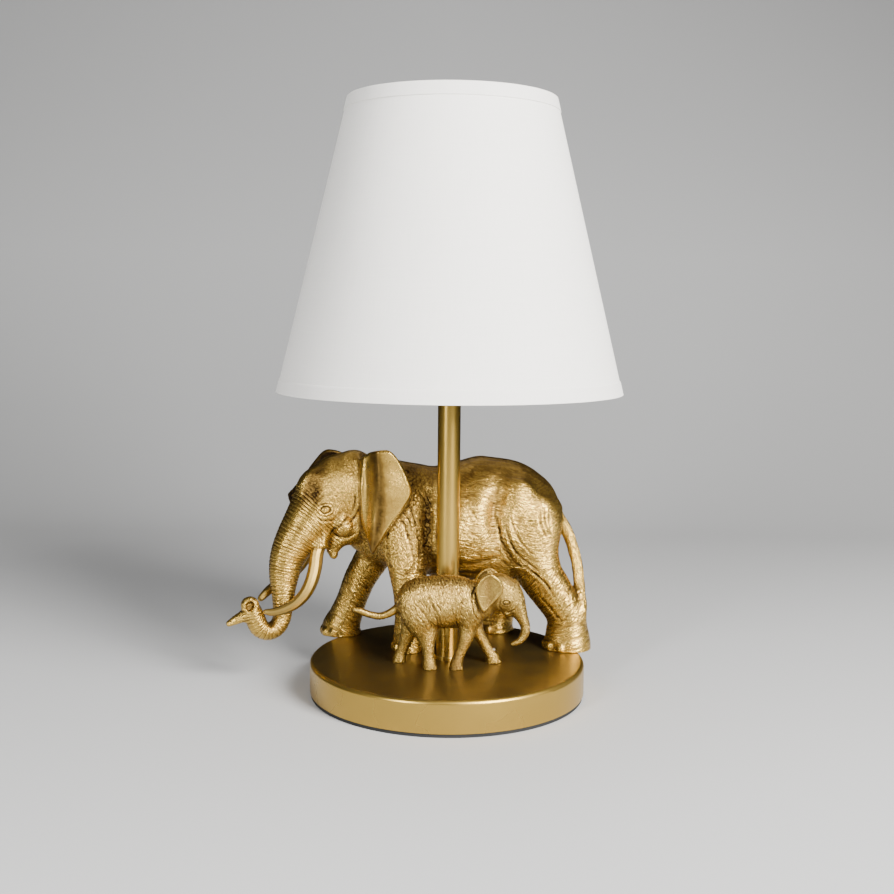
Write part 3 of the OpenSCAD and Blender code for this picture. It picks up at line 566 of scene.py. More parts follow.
ADULT_CREASES = [  # each: its line in the X-Z plane, its depth and its width
    ([(30, 101), (28.4, 94), (28, 88), (28.6, 82), (30, 75), (32.5, 66), (36.5, 56)], 1.2, 3.8),
    ([(29.5, 84), (32, 74), (35.2, 64), (40.5, 56), (48, 50.5)], 0.42, 0.9),
    ([(34, 82), (37, 71.2), (41.8, 61.8), (50, 55), (57, 50)], 0.34, 0.8),
    ([(37, 86), (40.5, 76), (46, 66.5), (54, 60)], 0.22, 0.7),
    ([(30.5, 76), (33, 66.5), (37, 57.5), (43, 51.6)], 0.3, 0.8),
    ([(56.4, 89), (55.7, 83), (57.5, 76), (61, 70.7)], 0.28, 0.8),
    ([(59, 90), (58.6, 84), (60.4, 77), (63.5, 72)], 0.25, 0.75),
    ([(61.6, 86), (61.4, 80), (63, 74)], 0.22, 0.7),
    ([(44, 56), (52, 50.2), (59.4, 44.4), (64, 36.6)], 0.24, 0.8),
    ([(48, 53), (56, 47), (62.4, 40), (67.4, 32)], 0.2, 0.75),
    ([(55, 36), (61, 30), (66.3, 23.4), (70.7, 19.8)], 0.24, 0.8),
    ([(60, 17), (65, 15.2), (71, 15.6), (78, 18)], 0.12, 1.0),
    ([(3, 55.5), (9, 54.4), (15.7, 54.6), (24.3, 56.6), (31, 58.5)], 0.6, 1.8),
    ([(5, 49), (12, 47.6), (20, 48), (29, 50.5)], 0.4, 1.2),
    ([(-37.5, 57.3), (-33.4, 51.5), (-26.9, 48.5), (-21.2, 52.5), (-19.7, 60.8)], 0.2, 0.9),
    ([(-30.5, 88), (-25.6, 76), (-22.2, 66), (-20, 54)], 0.26, 0.9),
    ([(-34.6, 82), (-36.8, 71), (-36.6, 60), (-34, 48)], 0.26, 0.9),
    ([(-24, 92), (-20, 80), (-17.6, 68), (-16.5, 56)], 0.3, 0.9),
    ([(-13, 100), (-12, 87), (-12.5, 73), (-14.5, 57)], 1.1, 3.6),
    ([(-7, 92), (-6.5, 81), (-7.5, 66)], 0.5, 1.5),
]
ADULT_HOLLOWS = [  # x, z, wide, high, turn, depth
    (29, 86, 6, 16, -4, 2.5), (-14, 80, 5, 16, 0, 1.6), (3, 80, 12, 21, 0, -2.2), (46, 88, 10, 13, 0, -1.3),
    (64, 60, 5, 10, 25, -0.6), (-29, 66, 6, 10, 0, -0.9), (60, 50, 5, 10, 35, -0.6),
]
HEAD_HOLLOWS = (  # from the head's middle: across, height, half-width, half-height, depth
    (15.5, 99, 5.5, 8, 2.6), (3.5, 93, 5, 4, 0.4), (-4, 104, 7, 7, -0.6))
HEAD_CREASES = (
    ([(-4, 84), (0.5, 80), (4.5, 74.5), (7.5, 66)], 0.5, 0.9),  # behind the tusk's sheath
    ([(-9, 84), (-6, 80.5), (-1.5, 78.5), (3.5, 78.5)], 0.3, 0.8),  # over the cheek
    ([(-10, 74), (-6, 70.5), (-1, 70), (4, 72)], 0.3, 0.8),  # mouth
    ([(-14, 110), (-14.6, 98), (-14, 86), (-11.5, 76)], 0.22, 0.8),  # in front of the ear
    ([(-9.4, 104), (-9.8, 96), (-9.4, 88), (-7.4, 80)], 0.25, 0.6),
    ([(-6.8, 98), (-7.2, 92), (-6.4, 86)], 0.2, 0.6),
    ([(2, 95.6), (8, 97.6), (14, 94.6), (17, 90)], 0.16, 0.9),  # over the brow
    ([(4, 81.6), (10, 81), (16, 83.6)], 0.25, 0.7),  # under the eye
    ([(13.4, 80), (11.6, 73), (11.8, 66)], 0.2, 0.9),
)
ADULT_EYE, ADULT_EYE_SIZE = (10.4, 88.0), 2.15


def on_ear(p, outline, low, high, soft):
    """1 on the ear inside its outline and between two depths, fading over its rim."""
    inside = outline_distance(closed_ring(outline), p[:, 0], p[:, 2])
    return ease(soft, -soft, inside) * (p[:, 1] > low) * (p[:, 1] < high)


class Hide:
    """What is laid on an animal's skin: height in millimetres along the normal, and the fine hatching of
    the material, which runs along flow and is as strong as rough."""

    def __init__(self, flow, rough):
        self.flow = flow
        self.rough = np.full(len(flow), rough)
        self.height = np.zeros(len(flow))

    def carve(self, depth, mask, valleys, p, width):
        """Adds valleys(p, width), worked out only where the mask counts."""
        rows = np.flatnonzero(mask > 0.01)
        self.height[rows] += depth * (mask[rows] * valleys(p[rows], width))

    def press(self, share, p, creases):
        """Adds each crease where the share holds."""
        for line, depth, width in creases:
            self.height += share * crease(p, line, depth, width)

    def lay(self, mask, flow, rough):
        """Fine hatching runs along the flow wherever the mask holds."""
        self.flow[mask > 0.5] = flow[mask > 0.5]
        self.rough[mask > 0.5] = rough


def adult_hide(p, n):
    """Wrinkles and folds of the adult's skin, and painted shading on it."""
    x, y, z = p.T
    left_ear, right_ear = on_ear(p, ADULT_LEFT_EAR, -5, 16.5, 2.0), on_ear(p, ADULT_RIGHT_EAR, 42, 76, 2.0)
    ear = np.maximum(left_ear, right_ear)
    warp = 1.1 * (layered(p / 6) - 0.5)
    sway = 6 * layered(p / 18)
    near = ease(0.15, 0.6, np.abs(n[:, 1]))
    hide = Hide(columns((x + 2 * warp) / 8, y / 8, (z + 0.10 * x + sway) / 1.3), 0.8)

    along, angle, ratio = ADULT["face"].local(p)
    trunk = ease(27, 40, along) * (x < -64) * (ratio < 1.4) * (1 - ear)
    ring = (along + 1.1 * warp + 0.5 * np.sin(2 * angle + along / 7)) / 2.0
    broken = 0.35 + 0.65 * noise(columns(along / 5, 1.6 * angle, angle * 0 + 3))
    hide.height -= 0.30 * trunk * broken * hump(ring - np.floor(ring), 0.5, 0.15)
    hide.lay(trunk, columns(angle * 1.1, angle * 0, along / 1.15), 0.9)

    legs = np.zeros(len(p))
    for name in LEGS:
        along, angle, ratio = ADULT[name].local(p)
        leg = ease(1.35, 1.08, ratio) * ease(60, 44, z)
        legs = np.maximum(legs, leg)
        slant = 1.3 if "fore" in name else -0.9
        ankle = ease(24, 12, z)
        net = columns((along + warp) / 3.0 + slant * angle, 1.7 * angle, along / 9)
        hide.carve(0.15, leg * (1 - 0.7 * ankle), cracks, net, 0.16)
        hide.carve(0.16, leg, furrows, net * (0.6, 0.6, 1), 0.10)
        hatching = columns(1.6 * angle, angle * 0 + 2, (along + 3 * slant * angle) / 1.5)
        hide.lay(leg, hatching, 1 - 0.35 * ankle[leg > 0.5])

    tail = (x > 70) * (ADULT["tail"].local(p)[2] < 1.4) * (1 - legs)
    body = (1 - ear) * (1 - trunk) * (1 - legs) * (1 - tail)
    thigh = ease(28, 36, x)
    shoulder = ease(-6, -14, x) * ease(-60, -50, x)
    head = ease(-50, -58, x)
    flank = (1 - thigh) * ease(-14, -6, x)
    back = 1 - 0.75 * ease(0.45, 0.9, n[:, 2])
    flat = columns((x + 2 * warp) / 4.6, y / 4.6, (z + 0.10 * x + sway) / 2.0)
    arcs = columns((x + 2 * warp) / 4.4, y / 4.4, (z - 0.014 * (x - 52) ** 2 + sway) / 2.1)
    woven = columns((x + 0.5 * z + sway) / 2.8, y / 3, (z - 0.5 * x) / 3.4)
    small = columns((x + 0.4 * z) / 2.0, y / 2.0, (z - 0.4 * x) / 2.0)
    for mask, pattern, depth in (
            (flank, flat, 0.07), (thigh, arcs, 0.07), (shoulder, woven, 0.15), (head, small, 0.09)):
        hide.carve(depth, mask * body * back, cracks, pattern, 0.16)
        hide.carve(depth, mask * body * back, furrows, pattern * 0.8 + 7, 0.09)
    hide.lay(thigh * body, arcs * (0.6, 0.6, 1.75), 0.8)
    hide.lay(shoulder * body, woven * (1.9, 1, 1.3), 1.0)
    hide.lay(head * body, small * (1.3, 1.3, 1.9), 0.5)
    hide.rough *= 0.35 + 0.65 * back
    grooves = columns(x / 1.1, y / 1.1, z / 12)
    hide.carve(0.22, tail, furrows, grooves, 0.2)
    hide.lay(tail, grooves * 1.5, 0.6)
    hide.lay(ear, p / (3, 3, 9), 0.14)

    seen = (1 - ear) * near
    hide.press(seen, p, ADULT_CREASES)
    for hollow in ADULT_HOLLOWS:
        hide.height += seen * dent(p, *hollow)

    side = np.array(HEAD_SIDE)
    ahead = np.array([side[1], -side[0], 0])
    u, v = (p - HEAD_AT) @ ahead, (p - HEAD_AT) @ side
    flat_head = columns(u, v, z)
    on_head = (1 - ear) * ease(-46, -54, x) * ease(3, 7, np.abs(v))
    hide.height += on_head * eye_marks(u - ADULT_EYE[0], z - ADULT_EYE[1], ADULT_EYE_SIZE)
    hide.press(on_head, flat_head, HEAD_CREASES)
    for across, up, wide, high, depth in HEAD_HOLLOWS:
        hide.height += on_head * dent(flat_head, across, up, wide, high, 0, depth)
    hide.height += ear * (0.22 * (layered(p / 8) - 0.5) + 0.05 * furrows(p / 2.2, 0.16))
    hide.height *= ease(0.0, 1.2, z)

    # Painted shading: painted shade down the near ear, on the far ear's inner face, the forehead, round the
    # near ear, behind the shoulder and on the belly, and a painted highlight on the temple.
    fold = -43.2 + 2.2 * np.sin((z - 62) / 18) - 1.6 * ease(84, 66, z)
    painted_shading = 0.55 * ear * (y < 30) * hump(x, fold, 3.4)  # a band down the near ear
    painted_shading += 0.7 * ear * (y > 30) * ease(0.1, -0.3, n[:, 1])  # the far ear's inner face
    painted_shading += 0.38 * on_head * ease(0, 6, u - 10 + 0.36 * (z - 98)) * ease(86, 97, z)  # forehead
    painted_shading -= 0.2 * on_head * np.exp(-((u / 6) ** 2) - ((z - 106) / 9) ** 2)  # a paler temple
    painted_shading += 0.3 * seen * (y < 24) * hump(x, -53.2, 1.7) * ease(64, 70, z)  # in front of the near ear
    painted_shading += 0.25 * seen * hump(x, -23, 5) * ease(60, 80, z)  # behind it
    painted_shading += 0.25 * seen * hump(x, -12, 5) * ease(104, 90, z) * ease(40, 56, z)  # behind the shoulder
    painted_shading += 0.22 * ease(60, 48, z) * ease(-8, -2, x) * ease(34, 28, x)  # belly
    return hide, painted_shading


# ---- calf, walking to +X

CALF_VOXEL = 0.33

CALF = {
    "torso": Limb([
        [-28.4, -18.4, 36.2, 5, 6.5], [-26, -18.4, 36.6, 8.2, 10.6], [-21, -18.4, 37.4, 10.2, 14],
        [-13, -18.4, 38.2, 10.9, 15.8], [-3, -18.4, 38.8, 11.2, 16], [6, -18.4, 38.8, 10.8, 15.6],
        [14, -18.6, 39.2, 9.6, 13.6], [21, -19, 41, 8, 11.6]], start=1.5, end=5, blend=0.01),
    "face": Limb([
        [21.5, -19.4, 47, 6.5, 8], [26.5, -19.8, 46, 8, 10.4], [31, -20.2, 44.6, 8.4, 11],
        [35, -20.5, 42.4, 8, 10.2], [38.4, -20.9, 39, 6.7, 7.9], [41.2, -21.2, 34.8, 5.1, 5.5],
        [43.8, -21.5, 30, 3.9, 3.6], [45.6, -21.8, 24.8, 3.3, 2.9], [44.8, -22, 20, 2.9, 2.6],
        [42.2, -22.2, 16.6, 2.4, 2.1], [38.6, -22.2, 15, 1.7, 1.5]], start=3, end=1.5, blend=3.5),
    "right_hind": Limb([
        [-18.6, -21.5, 38, 6.4, 9.6], [-16.4, -23, 30, 6.2, 9.5], [-12.8, -24, 22, 5, 7.5],
        [-11.4, -24.4, 14, 3.9, 4.2], [-10.8, -24.5, 7, 3.5, 3.5], [-10.3, -24.5, 2.5, 3.9, 4.1],
        [-10.2, -24.5, -1.5, 4, 4.3]], start=3, blend=3),
    "right_fore": Limb([
        [13.6, -21.5, 38, 5.8, 7.6], [13.6, -23, 30, 5.4, 6.4], [12, -24, 23, 4.4, 5],
        [10, -24.5, 16, 3.6, 3.8], [7.3, -24.5, 9, 3.2, 3.2], [5.5, -24.5, 3.4, 3.7, 3.7],
        [5.1, -24.5, -1.5, 3.9, 4.2]], start=3, blend=3),
    "left_hind": Limb([
        [-20, -15, 36, 6.2, 8.6], [-20.8, -13, 27, 5.4, 7.2], [-22.8, -12, 19, 4.4, 5],
        [-25, -11.5, 12, 3.6, 3.9], [-27, -11.3, 6.6, 3.3, 3.4], [-28.3, -11, 2.6, 3.7, 3.8],
        [-28.7, -11, -1.5, 3.8, 4.1]], start=3, blend=3),
    "left_fore": Limb([
        [13.6, -15, 36, 5.2, 7.2], [15.4, -13, 27, 4.8, 5.8], [17.6, -12, 20, 3.9, 4.1],
        [21.2, -11.3, 13.5, 3.2, 3.3], [24.6, -11, 7.5, 3, 3.2], [27.3, -11, 3.2, 3.4, 4],
        [27.8, -11, -1.5, 3.5, 4.4]], start=3, blend=3),
    "tail": Limb([
        [-26, -18.4, 37, 3.0, 3.2], [-30, -18.5, 34.2, 2.6, 2.7], [-34, -18.7, 31.6, 2.3, 2.4],
        [-39.8, -19.2, 29.9, 2.1, 2.2], [-46.5, -19.6, 31.2, 2.0, 2.1], [-51.5, -20, 33.2, 2.0, 2.1],
        [-54.4, -20, 34, 1.4, 1.4]], start=1, end=1.4, blend=1.5),
}
CALF_EAR = [
    (32.4, 50.6), (30.2, 55), (25, 58.2), (20, 56.4), (16.6, 52), (15.8, 48.6), (16.8, 42.9), (18.8, 37.2),
    (21.2, 35.2), (25, 38.6), (29.2, 43), (31.8, 47)]
CALF_FEET = ((-10.2, -24.5, 3.9, 4.2), (5.1, -24.5, 3.8, 4.1), (-28.7, -11, 3.7, 4), (27.8, -11, 3.4, 4.3))
CALF_MIDDLE = -20.2


def calf_ear_depth(x, z):
    """How far the ear's sheet stands off the calf's middle plane."""
    back = np.clip((30 - x) / 13, 0, 1)
    return 8.2 + 1.6 * back - 0.7 * hump(x - 24.5 + 0.12 * (z - 46), 0, 3.6)


def calf_clay():
    clay = Clay((-58, -34, -3), (51, -5, 61), CALF_VOXEL)
    clay.add_limbs(CALF, 5.0)
    clay.add_balls((
        ((30, -20, 50), (5.5, 5.6, 5.4), 0, 3),  # crown
        ((35, -20.4, 33.5), (3.4, 4.4, 3), -30, 1.6),  # chin
        ((-16, -25, 29.6), (7.4, 5, 9.6), 10, 3),  # thigh
        ((13, -25, 33), (5.5, 4.5, 8), 0, 3),  # shoulder
        ((-3, -26, 34), (9, 4.5, 8), 0, 3),  # belly
        ((35.6, -27, 42.4), (2.6, 1.6, 1.6), 0, 1),  # brow
    ))
    clay.add(clay.of_ear(CALF_EAR, lambda x, z: CALF_MIDDLE - calf_ear_depth(x, z), 0.7, -34, -24), 0.9)
    clay.add(clay.of_ear(CALF_EAR, lambda x, z: CALF_MIDDLE + calf_ear_depth(x, z), 0.7, -16, -5), 0.9)
    for foot in CALF_FEET:
        add_toes(clay, foot, 4, 1.05, 1, 0.4)
    clay.flatten_below(0.0)
    return clay


CALF_CREASES = [
    ([(-12, 46), (-8.6, 38), (-6, 30), (-5.4, 22)], 0.3, 0.8),
    ([(-9.4, 40), (-5.0, 33), (-3.6, 26)], 0.2, 0.5), ([(-16.6, 38), (-12, 32), (-8.4, 25)], 0.25, 0.6),
    ([(-19, 35), (-14, 29.4), (-10, 22)], 0.18, 0.5), ([(9, 44), (8, 36), (8.8, 28)], 0.16, 0.7),
    ([(5.6, 38), (5, 31), (6.4, 25)], 0.2, 0.45), ([(15.6, 50), (14, 43), (15.4, 35), (18.4, 30)], 0.35, 0.5),
    ([(-2, 27), (2, 25.4), (6, 26.4)], 0.3, 0.6), ([(-24, 42), (-25.4, 36), (-23.6, 30)], 0.2, 0.5),
    ([(39.4, 37), (36.4, 34.8), (33.5, 33.8)], 0.3, 0.4), ([(31, 44), (30, 39), (32, 35)], 0.2, 0.45),
]


CALF_EYE, CALF_EYE_SIZE = (34.0, 40.9), 1.45


def calf_hide(p, n):
    """Wrinkles and folds of the calf's skin, and painted shading on it."""
    x, y, z = p.T
    off_middle = np.abs(y - CALF_MIDDLE)
    ear = on_ear(p, CALF_EAR, -40, 0, 0.9) * (off_middle > 7.6)
    along, angle, ratio = CALF["face"].local(p, 2.0)
    trunk = ease(17, 24, along) * (x > 30) * (ratio < 1.5)
    legs = ease(26, 20, z) * (1 - trunk)
    tail = ease(-29, -31, x) * (z > 26)
    body = (1 - ear) * (1 - trunk) * (1 - legs) * (1 - tail)
    head = ease(20, 25, x)
    seen = (1 - ear) * ease(0.15, 0.6, np.abs(n[:, 1]))
    warp = 0.8 * (layered(p / 3.5) - 0.5)
    sway = 2.5 * layered(p / 9)
    upright = columns((x + 0.2 * z + sway) / 1.5, y / 3, (z + warp) / 4.2)
    speck = p / 1.3
    rings = columns((along + warp) / 1.5, 0.8 * angle, along / 20)
    bands = columns((x + y) / 3.0, (x - y) / 3.0, (z + 0.3 * sway) / 1.5)
    tail_rings = columns((x + warp) / 1.6, 0.1 * y, 0.1 * z)
    hide = Hide(upright * (1.9, 1, 1.3), 1.0)
    hide.carve(0.18, body * (1 - head), cracks, upright, 0.18)
    hide.carve(0.16, body * (1 - head), furrows, upright * 0.7 + 3, 0.1)
    hide.carve(0.08, body * (0.3 + 0.7 * ease(44, 50, z)), cracks, speck, 0.2)
    hide.carve(0.10, legs, cracks, bands, 0.2)
    hide.carve(0.13, trunk, cracks, rings, 0.2)
    hide.carve(0.08, tail, cracks, tail_rings, 0.25)
    hide.lay(head * body, 1.7 * speck, 0.8)
    hide.lay(legs, 1.7 * bands, 0.8)
    hide.lay(trunk, 1.6 * rings, 0.8)
    hide.lay(tail, 1.6 * tail_rings, 0.5)
    hide.lay(ear, 0.8 * speck, 0.45)
    across, up = x - CALF_EYE[0], z - CALF_EYE[1]
    hide.height += seen * (off_middle > 3) * eye_marks(across, up, CALF_EYE_SIZE)
    hide.press(seen, p, CALF_CREASES)
    hide.height += ear * 0.16 * (layered(p / 2.4) - 0.5)
    edge = outline_distance(closed_ring(CALF_EAR), x, z)
    hide.height += ear * 0.3 * hump(edge, -1.1, 0.7)
    hide.height *= ease(0.0, 0.6, z)

    # Painted shading: painted shadow behind the ear's rim, painted shade down the ear, round the eye and on
    # the belly.
    painted_shading = 0.5 * hump(edge, 0.6, 0.9) * ease(26, 20, x) * (off_middle > 4)  # behind the ear's rim
    painted_shading += 0.22 * ear * hump(x - 23.5 + 0.12 * (z - 46), 0, 2.6)
    painted_shading += 0.4 * seen * hump(np.hypot(across, up), 1.7, 0.5)  # round the eye
    painted_shading += 0.3 * ease(27, 22, z) * ease(-9, -4, x) * ease(10, 5, x)  # belly
    return hide, painted_shading


def sculpt(name, clay, hide_of, node, tone):
    """The finished skin of one animal, in place of its plain solid."""
    points, quads = clay.surface()
    normal = vertex_normals(points, quads)
    hide, painted_shading = hide_of(points, normal)
    points = points + normal * hide.height[:, None]
    points[:, 2] = np.maximum(points[:, 2], 0)
    # painted shade: faces that look up, the backs and tops, are made darker
    level = ease(0.25, 0.85, vertex_normals(points, quads)[:, 2])
    dark = patina_and_painted_shade(points, quads, hide.height) + 0.26 * level
    dark = BARE_AGE + (dark - BARE_AGE) * (0.35 + 0.65 * np.minimum(hide.rough / 0.5, 1))
    attributes = {"patina_and_painted_shade": dark + painted_shading, "flow": hide.flow, "rough": hide.rough}
    piece = skin_object(name, points, quads, attributes, antique_gold(name, *tone))
    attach(piece, "lamp")
    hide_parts(node)


# ---- materials


class Nodes:
    """Short calls for building a material's node tree."""

    def __init__(self, name):
        self.material = bpy.data.materials.new(name)
        self.material.use_nodes = True
        self.tree = self.material.node_tree
        self.shader = self.tree.nodes["Principled BSDF"]

    def add(self, kind, values=None, **settings):
        """A node; values go to its inputs, as numbers or as links, and settings to its own fields."""
        node = self.tree.nodes.new("ShaderNode" + kind)
        for key, value in settings.items():
            setattr(node, key, value)
        for key, value in (values or {}).items():
            self.feed(node.inputs[key], value)
        return node

    def feed(self, socket, value):
        if isinstance(value, bpy.types.NodeSocket):
            self.tree.links.new(value, socket)
        else:
            socket.default_value = value

    def set(self, **values):
        """Inputs of the shader itself."""
        for key, value in values.items():
            self.feed(self.shader.inputs[key.replace("_", " ")], value)

    def place(self):
        """Where a point is on its object, in metres."""
        return self.add("TexCoord").outputs["Object"]

    def noise(self, scale, detail=3.0, where=None, rough=0.5):
        inputs = {"Scale": scale, "Detail": detail, "Roughness": rough, "Vector": where or self.place()}
        return self.add("TexNoise", inputs).outputs["Fac"]

    def cells(self, scale, where):
        """Distance to the nearest border of small rounded cells."""
        inputs = {"Scale": scale, "Vector": where}
        return self.add("TexVoronoi", inputs, feature="DISTANCE_TO_EDGE").outputs["Distance"]

    def ramp(self, value, *stops):
        """Stops are (position, colour)."""
        node = self.add("ValToRGB", {"Fac": value})
        ramp = node.color_ramp
        while len(ramp.elements) < len(stops):
            ramp.elements.new(0.5)
        for element, (position, colour) in zip(ramp.elements, stops):
            element.position = position
            element.color = (*colour, 1)
        return node.outputs["Color"]

    def span(self, value, low, high, start, stop):
        """low to high while the value goes from start to stop."""
        inputs = {"Value": value, "From Min": start, "From Max": stop, "To Min": low, "To Max": high}
        return self.add("MapRange", inputs).outputs["Result"]

    def math(self, operation, a, b):
        return self.add("Math", {0: a, 1: b}, operation=operation).outputs[0]

    def times(self, a, b):
        return self.math("MULTIPLY", a, b)

    def plus(self, a, b):
        return self.math("ADD", a, b)

    def bump(self, height, strength, distance):
        inputs = {"Height": height, "Strength": strength, "Distance": distance}
        return self.add("Bump", inputs).outputs["Normal"]


def antique_gold(name, light, middle, dark, gloss, deep):
    """Gold rubbed over dark bronze. Vertex attributes steer it: patina_and_painted_shade darkens furrows with
    patina and paints shade and highlights, flow leads the fine hatching of the hide, and rough says how
    strong it is."""
    m = Nodes(name)
    patina_and_shade_share = m.add("Attribute", attribute_name="patina_and_painted_shade").outputs["Fac"]
    flow = m.add("Attribute", attribute_name="flow").outputs["Vector"]
    rough = m.add("Attribute", attribute_name="rough").outputs["Fac"]
    skin = m.span(m.cells(0.62, flow), 0.0, 1.0, 0.0, 0.13)
    hairline = m.math("ABSOLUTE", m.math("SUBTRACT", m.noise(1.1, 3.0, flow, 0.55), 0.5), 0.0)
    lines = m.span(hairline, 0.0, 1.0, 0.0, 0.09)
    fine = m.times(m.plus(m.times(skin, 0.6), m.times(lines, 0.4)), rough)
    worn = m.math("SUBTRACT", m.times(rough, 0.30), m.times(fine, 0.40))
    share = m.plus(m.plus(patina_and_shade_share, m.span(m.noise(160.0, 5.0, rough=0.6), -0.10, 0.10, 0.3, 0.7)), worn)
    m.set(Base_Color=m.ramp(share, (0.10, light), (0.46, middle), (0.88, dark)))
    m.set(Metallic=0.93, Roughness=m.span(share, gloss, gloss + 0.22, 0.1, 0.9))
    grain = m.times(m.noise(2600.0, 3.0, rough=0.6), 0.22)
    m.set(Normal=m.bump(m.plus(fine, grain), 0.8, deep))
    return m.material


def satin_gold(name, colour, rough, peel=0.08):
    """Smooth sprayed gold: metallic flake, faint orange peel, uneven gloss, painted shade and a rougher coat
    on level faces.
    """
    m = Nodes(name)
    cloud = m.noise(22.0, 4.0)
    flake = m.noise(5200.0, 1.0)
    level = m.add("SeparateXYZ", {"Vector": m.add("NewGeometry").outputs["Normal"]}).outputs["Z"]
    tone = m.plus(m.times(cloud, 0.7), m.times(flake, 0.3))
    # painted shade: the tone drops on faces that look up
    tone = m.math("SUBTRACT", tone, m.span(level, 0.0, 0.45, 0.6, 1.0))
    deep, pale = tuple(0.30 * c + 0.015 for c in colour), tuple(0.86 * c for c in colour)
    m.set(Base_Color=m.ramp(tone, (0.05, deep), (0.35, pale), (0.7, colour)), Metallic=0.95)
    gloss = m.span(cloud, rough - 0.03, rough + 0.04, 0.3, 0.7)
    m.set(Roughness=m.plus(gloss, m.span(level, 0.0, 0.10, 0.1, 0.8)))
    ripple = m.plus(m.noise(900.0, 2.0), m.times(flake, 0.35))
    m.set(Normal=m.bump(ripple, peel, 0.0002))
    return m.material


def plain(name, colour, rough, metallic=0.0, grain=900.0, depth=0.00005):
    """Moulded or bare parts: slight variation in colour and gloss, and a fine surface grain."""
    m = Nodes(name)
    cloud = m.noise(60.0, 3.0)
    dull = tuple(0.94 * c for c in colour)
    m.set(Base_Color=m.ramp(cloud, (0.3, dull), (0.7, colour)), Metallic=metallic)
    m.set(Roughness=m.span(cloud, rough - 0.04, rough + 0.04, 0.3, 0.7))
    m.set(Normal=m.bump(m.noise(grain, 2.0), 0.2, depth))
    return m.material


def linen(name, colour, around, up):
    """Woven fabric on a cone: threads round it and up it, each a little uneven, with a soft sheen."""
    m = Nodes(name)
    flat = m.add("UVMap", uv_map="cloth").outputs["UV"]

    def stretched(count_u, count_v, seed=0.0):
        inputs = {"Vector": flat, "Scale": (count_u, count_v, 1), "Location": (seed, seed, 0)}
        return m.add("Mapping", inputs).outputs["Vector"]

    def threads(axis, where):
        inputs = {"Vector": where, "Scale": 0.5, "Distortion": 0.9, "Detail": 2.0}
        return m.add("TexWave", inputs, bands_direction=axis).outputs["Fac"]

    weave = m.times(threads("Y", stretched(1, up)), threads("X", stretched(around, 1)))
    slub_u = m.noise(1.0, 2.0, stretched(around * 0.02, up * 0.5, 3.0))
    slub_v = m.noise(1.0, 2.0, stretched(around * 0.5, up * 0.02, 9.0))
    slub = m.plus(slub_u, slub_v)
    tone = m.plus(m.times(weave, 0.25), m.times(slub, 0.5))
    m.set(Base_Color=m.ramp(tone, (0.30, tuple(0.93 * c for c in colour)), (0.80, colour)))
    m.set(Roughness=m.span(m.noise(35.0, 3.0), 0.8, 0.92, 0.3, 0.7))
    m.set(Sheen_Weight=0.2, Sheen_Roughness=0.5)
    m.set(Normal=m.bump(m.plus(weave, m.times(slub, 0.9)), 0.22, 0.00018))
    return m.material


def clear_glass(name):
    m = Nodes(name)
    m.set(Base_Color=(0.97, 0.98, 1.0, 1), Roughness=0.02, IOR=1.45, Transmission_Weight=1.0)
    m.set(Normal=m.bump(m.noise(30.0, 2.0), 0.02, 0.0002))
    return m.material


CLOTH = (0.91, 0.885, 0.835)
LOOKS = {  # each slot: what makes its material, and the values for that
    "gold_paint": (satin_gold, (0.52, 0.335, 0.070), 0.28),
    "iron": (plain, (0.05, 0.05, 0.055), 0.7, 0.6, 400, 0.0003),
    "black_pad": (plain, (0.012, 0.012, 0.012), 0.85, 0.0, 1500, 0.0002),
    "black_bush": (plain, (0.02, 0.02, 0.02), 0.5),
    "zinc_steel": (plain, (0.55, 0.56, 0.58), 0.32, 1.0),
    "tusk_gold": (satin_gold, (0.37, 0.24, 0.060), 0.36, 0.05),
    "brass": (satin_gold, (0.75, 0.55, 0.25), 0.25),
    "holder_bronze": (plain, (0.035, 0.028, 0.022), 0.42),
    "ceramic_white": (plain, (0.78, 0.75, 0.68), 0.35),
    "white_wire": (plain, (0.80, 0.80, 0.78), 0.35),
    "bulb_glass": (clear_glass,),
    "nickel": (plain, (0.66, 0.63, 0.58), 0.22, 1.0),
    "filament": (plain, (0.85, 0.62, 0.22), 0.6),
}


def dress_cad():
    """Every CAD node that stays gets its slot's material."""
    made = {}
    for part in frame["record"]["subparts"]:
        node, slot = NODES[part["node"]], part["material_slot"]
        if slot not in LOOKS:
            continue
        if slot not in made:
            make, *values = LOOKS[slot]
            made[slot] = make(slot, *values)
        for place in node.material_slots:
            place.material = made[slot]


# ---- shade

CONE_LOW, CONE_HIGH = (np.array(v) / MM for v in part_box("shade_cone"))
TAPE_LOW = np.array(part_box("shade_bottom_tape")) / MM
TAPE_HIGH = np.array(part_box("shade_top_tape")) / MM
SHADE_SLOPE = (TAPE_LOW[1][0] - TAPE_HIGH[1][0]) / (TAPE_HIGH[0][2] - TAPE_LOW[0][2])
CLOTH_T, TAPE_T = 0.8, 0.5  # thickness
SEAM_EDGE = (3.4, 2.8)  # from the back round to where the tape's overlap begins, and to where it is whole
SEAM_RISE = 0.3
WIRE_ROOM = 3.15  # the tape goes round the wire inside the cloth
FLAP = 3.0  # how far the tape's inner edge comes up
TURNS = 288  # steps round the shade


def wall_radius(z):
    """Outside radius of the cloth at the height z."""
    return TAPE_LOW[1][0] - TAPE_T - SHADE_SLOPE * (z - TAPE_LOW[0][2])


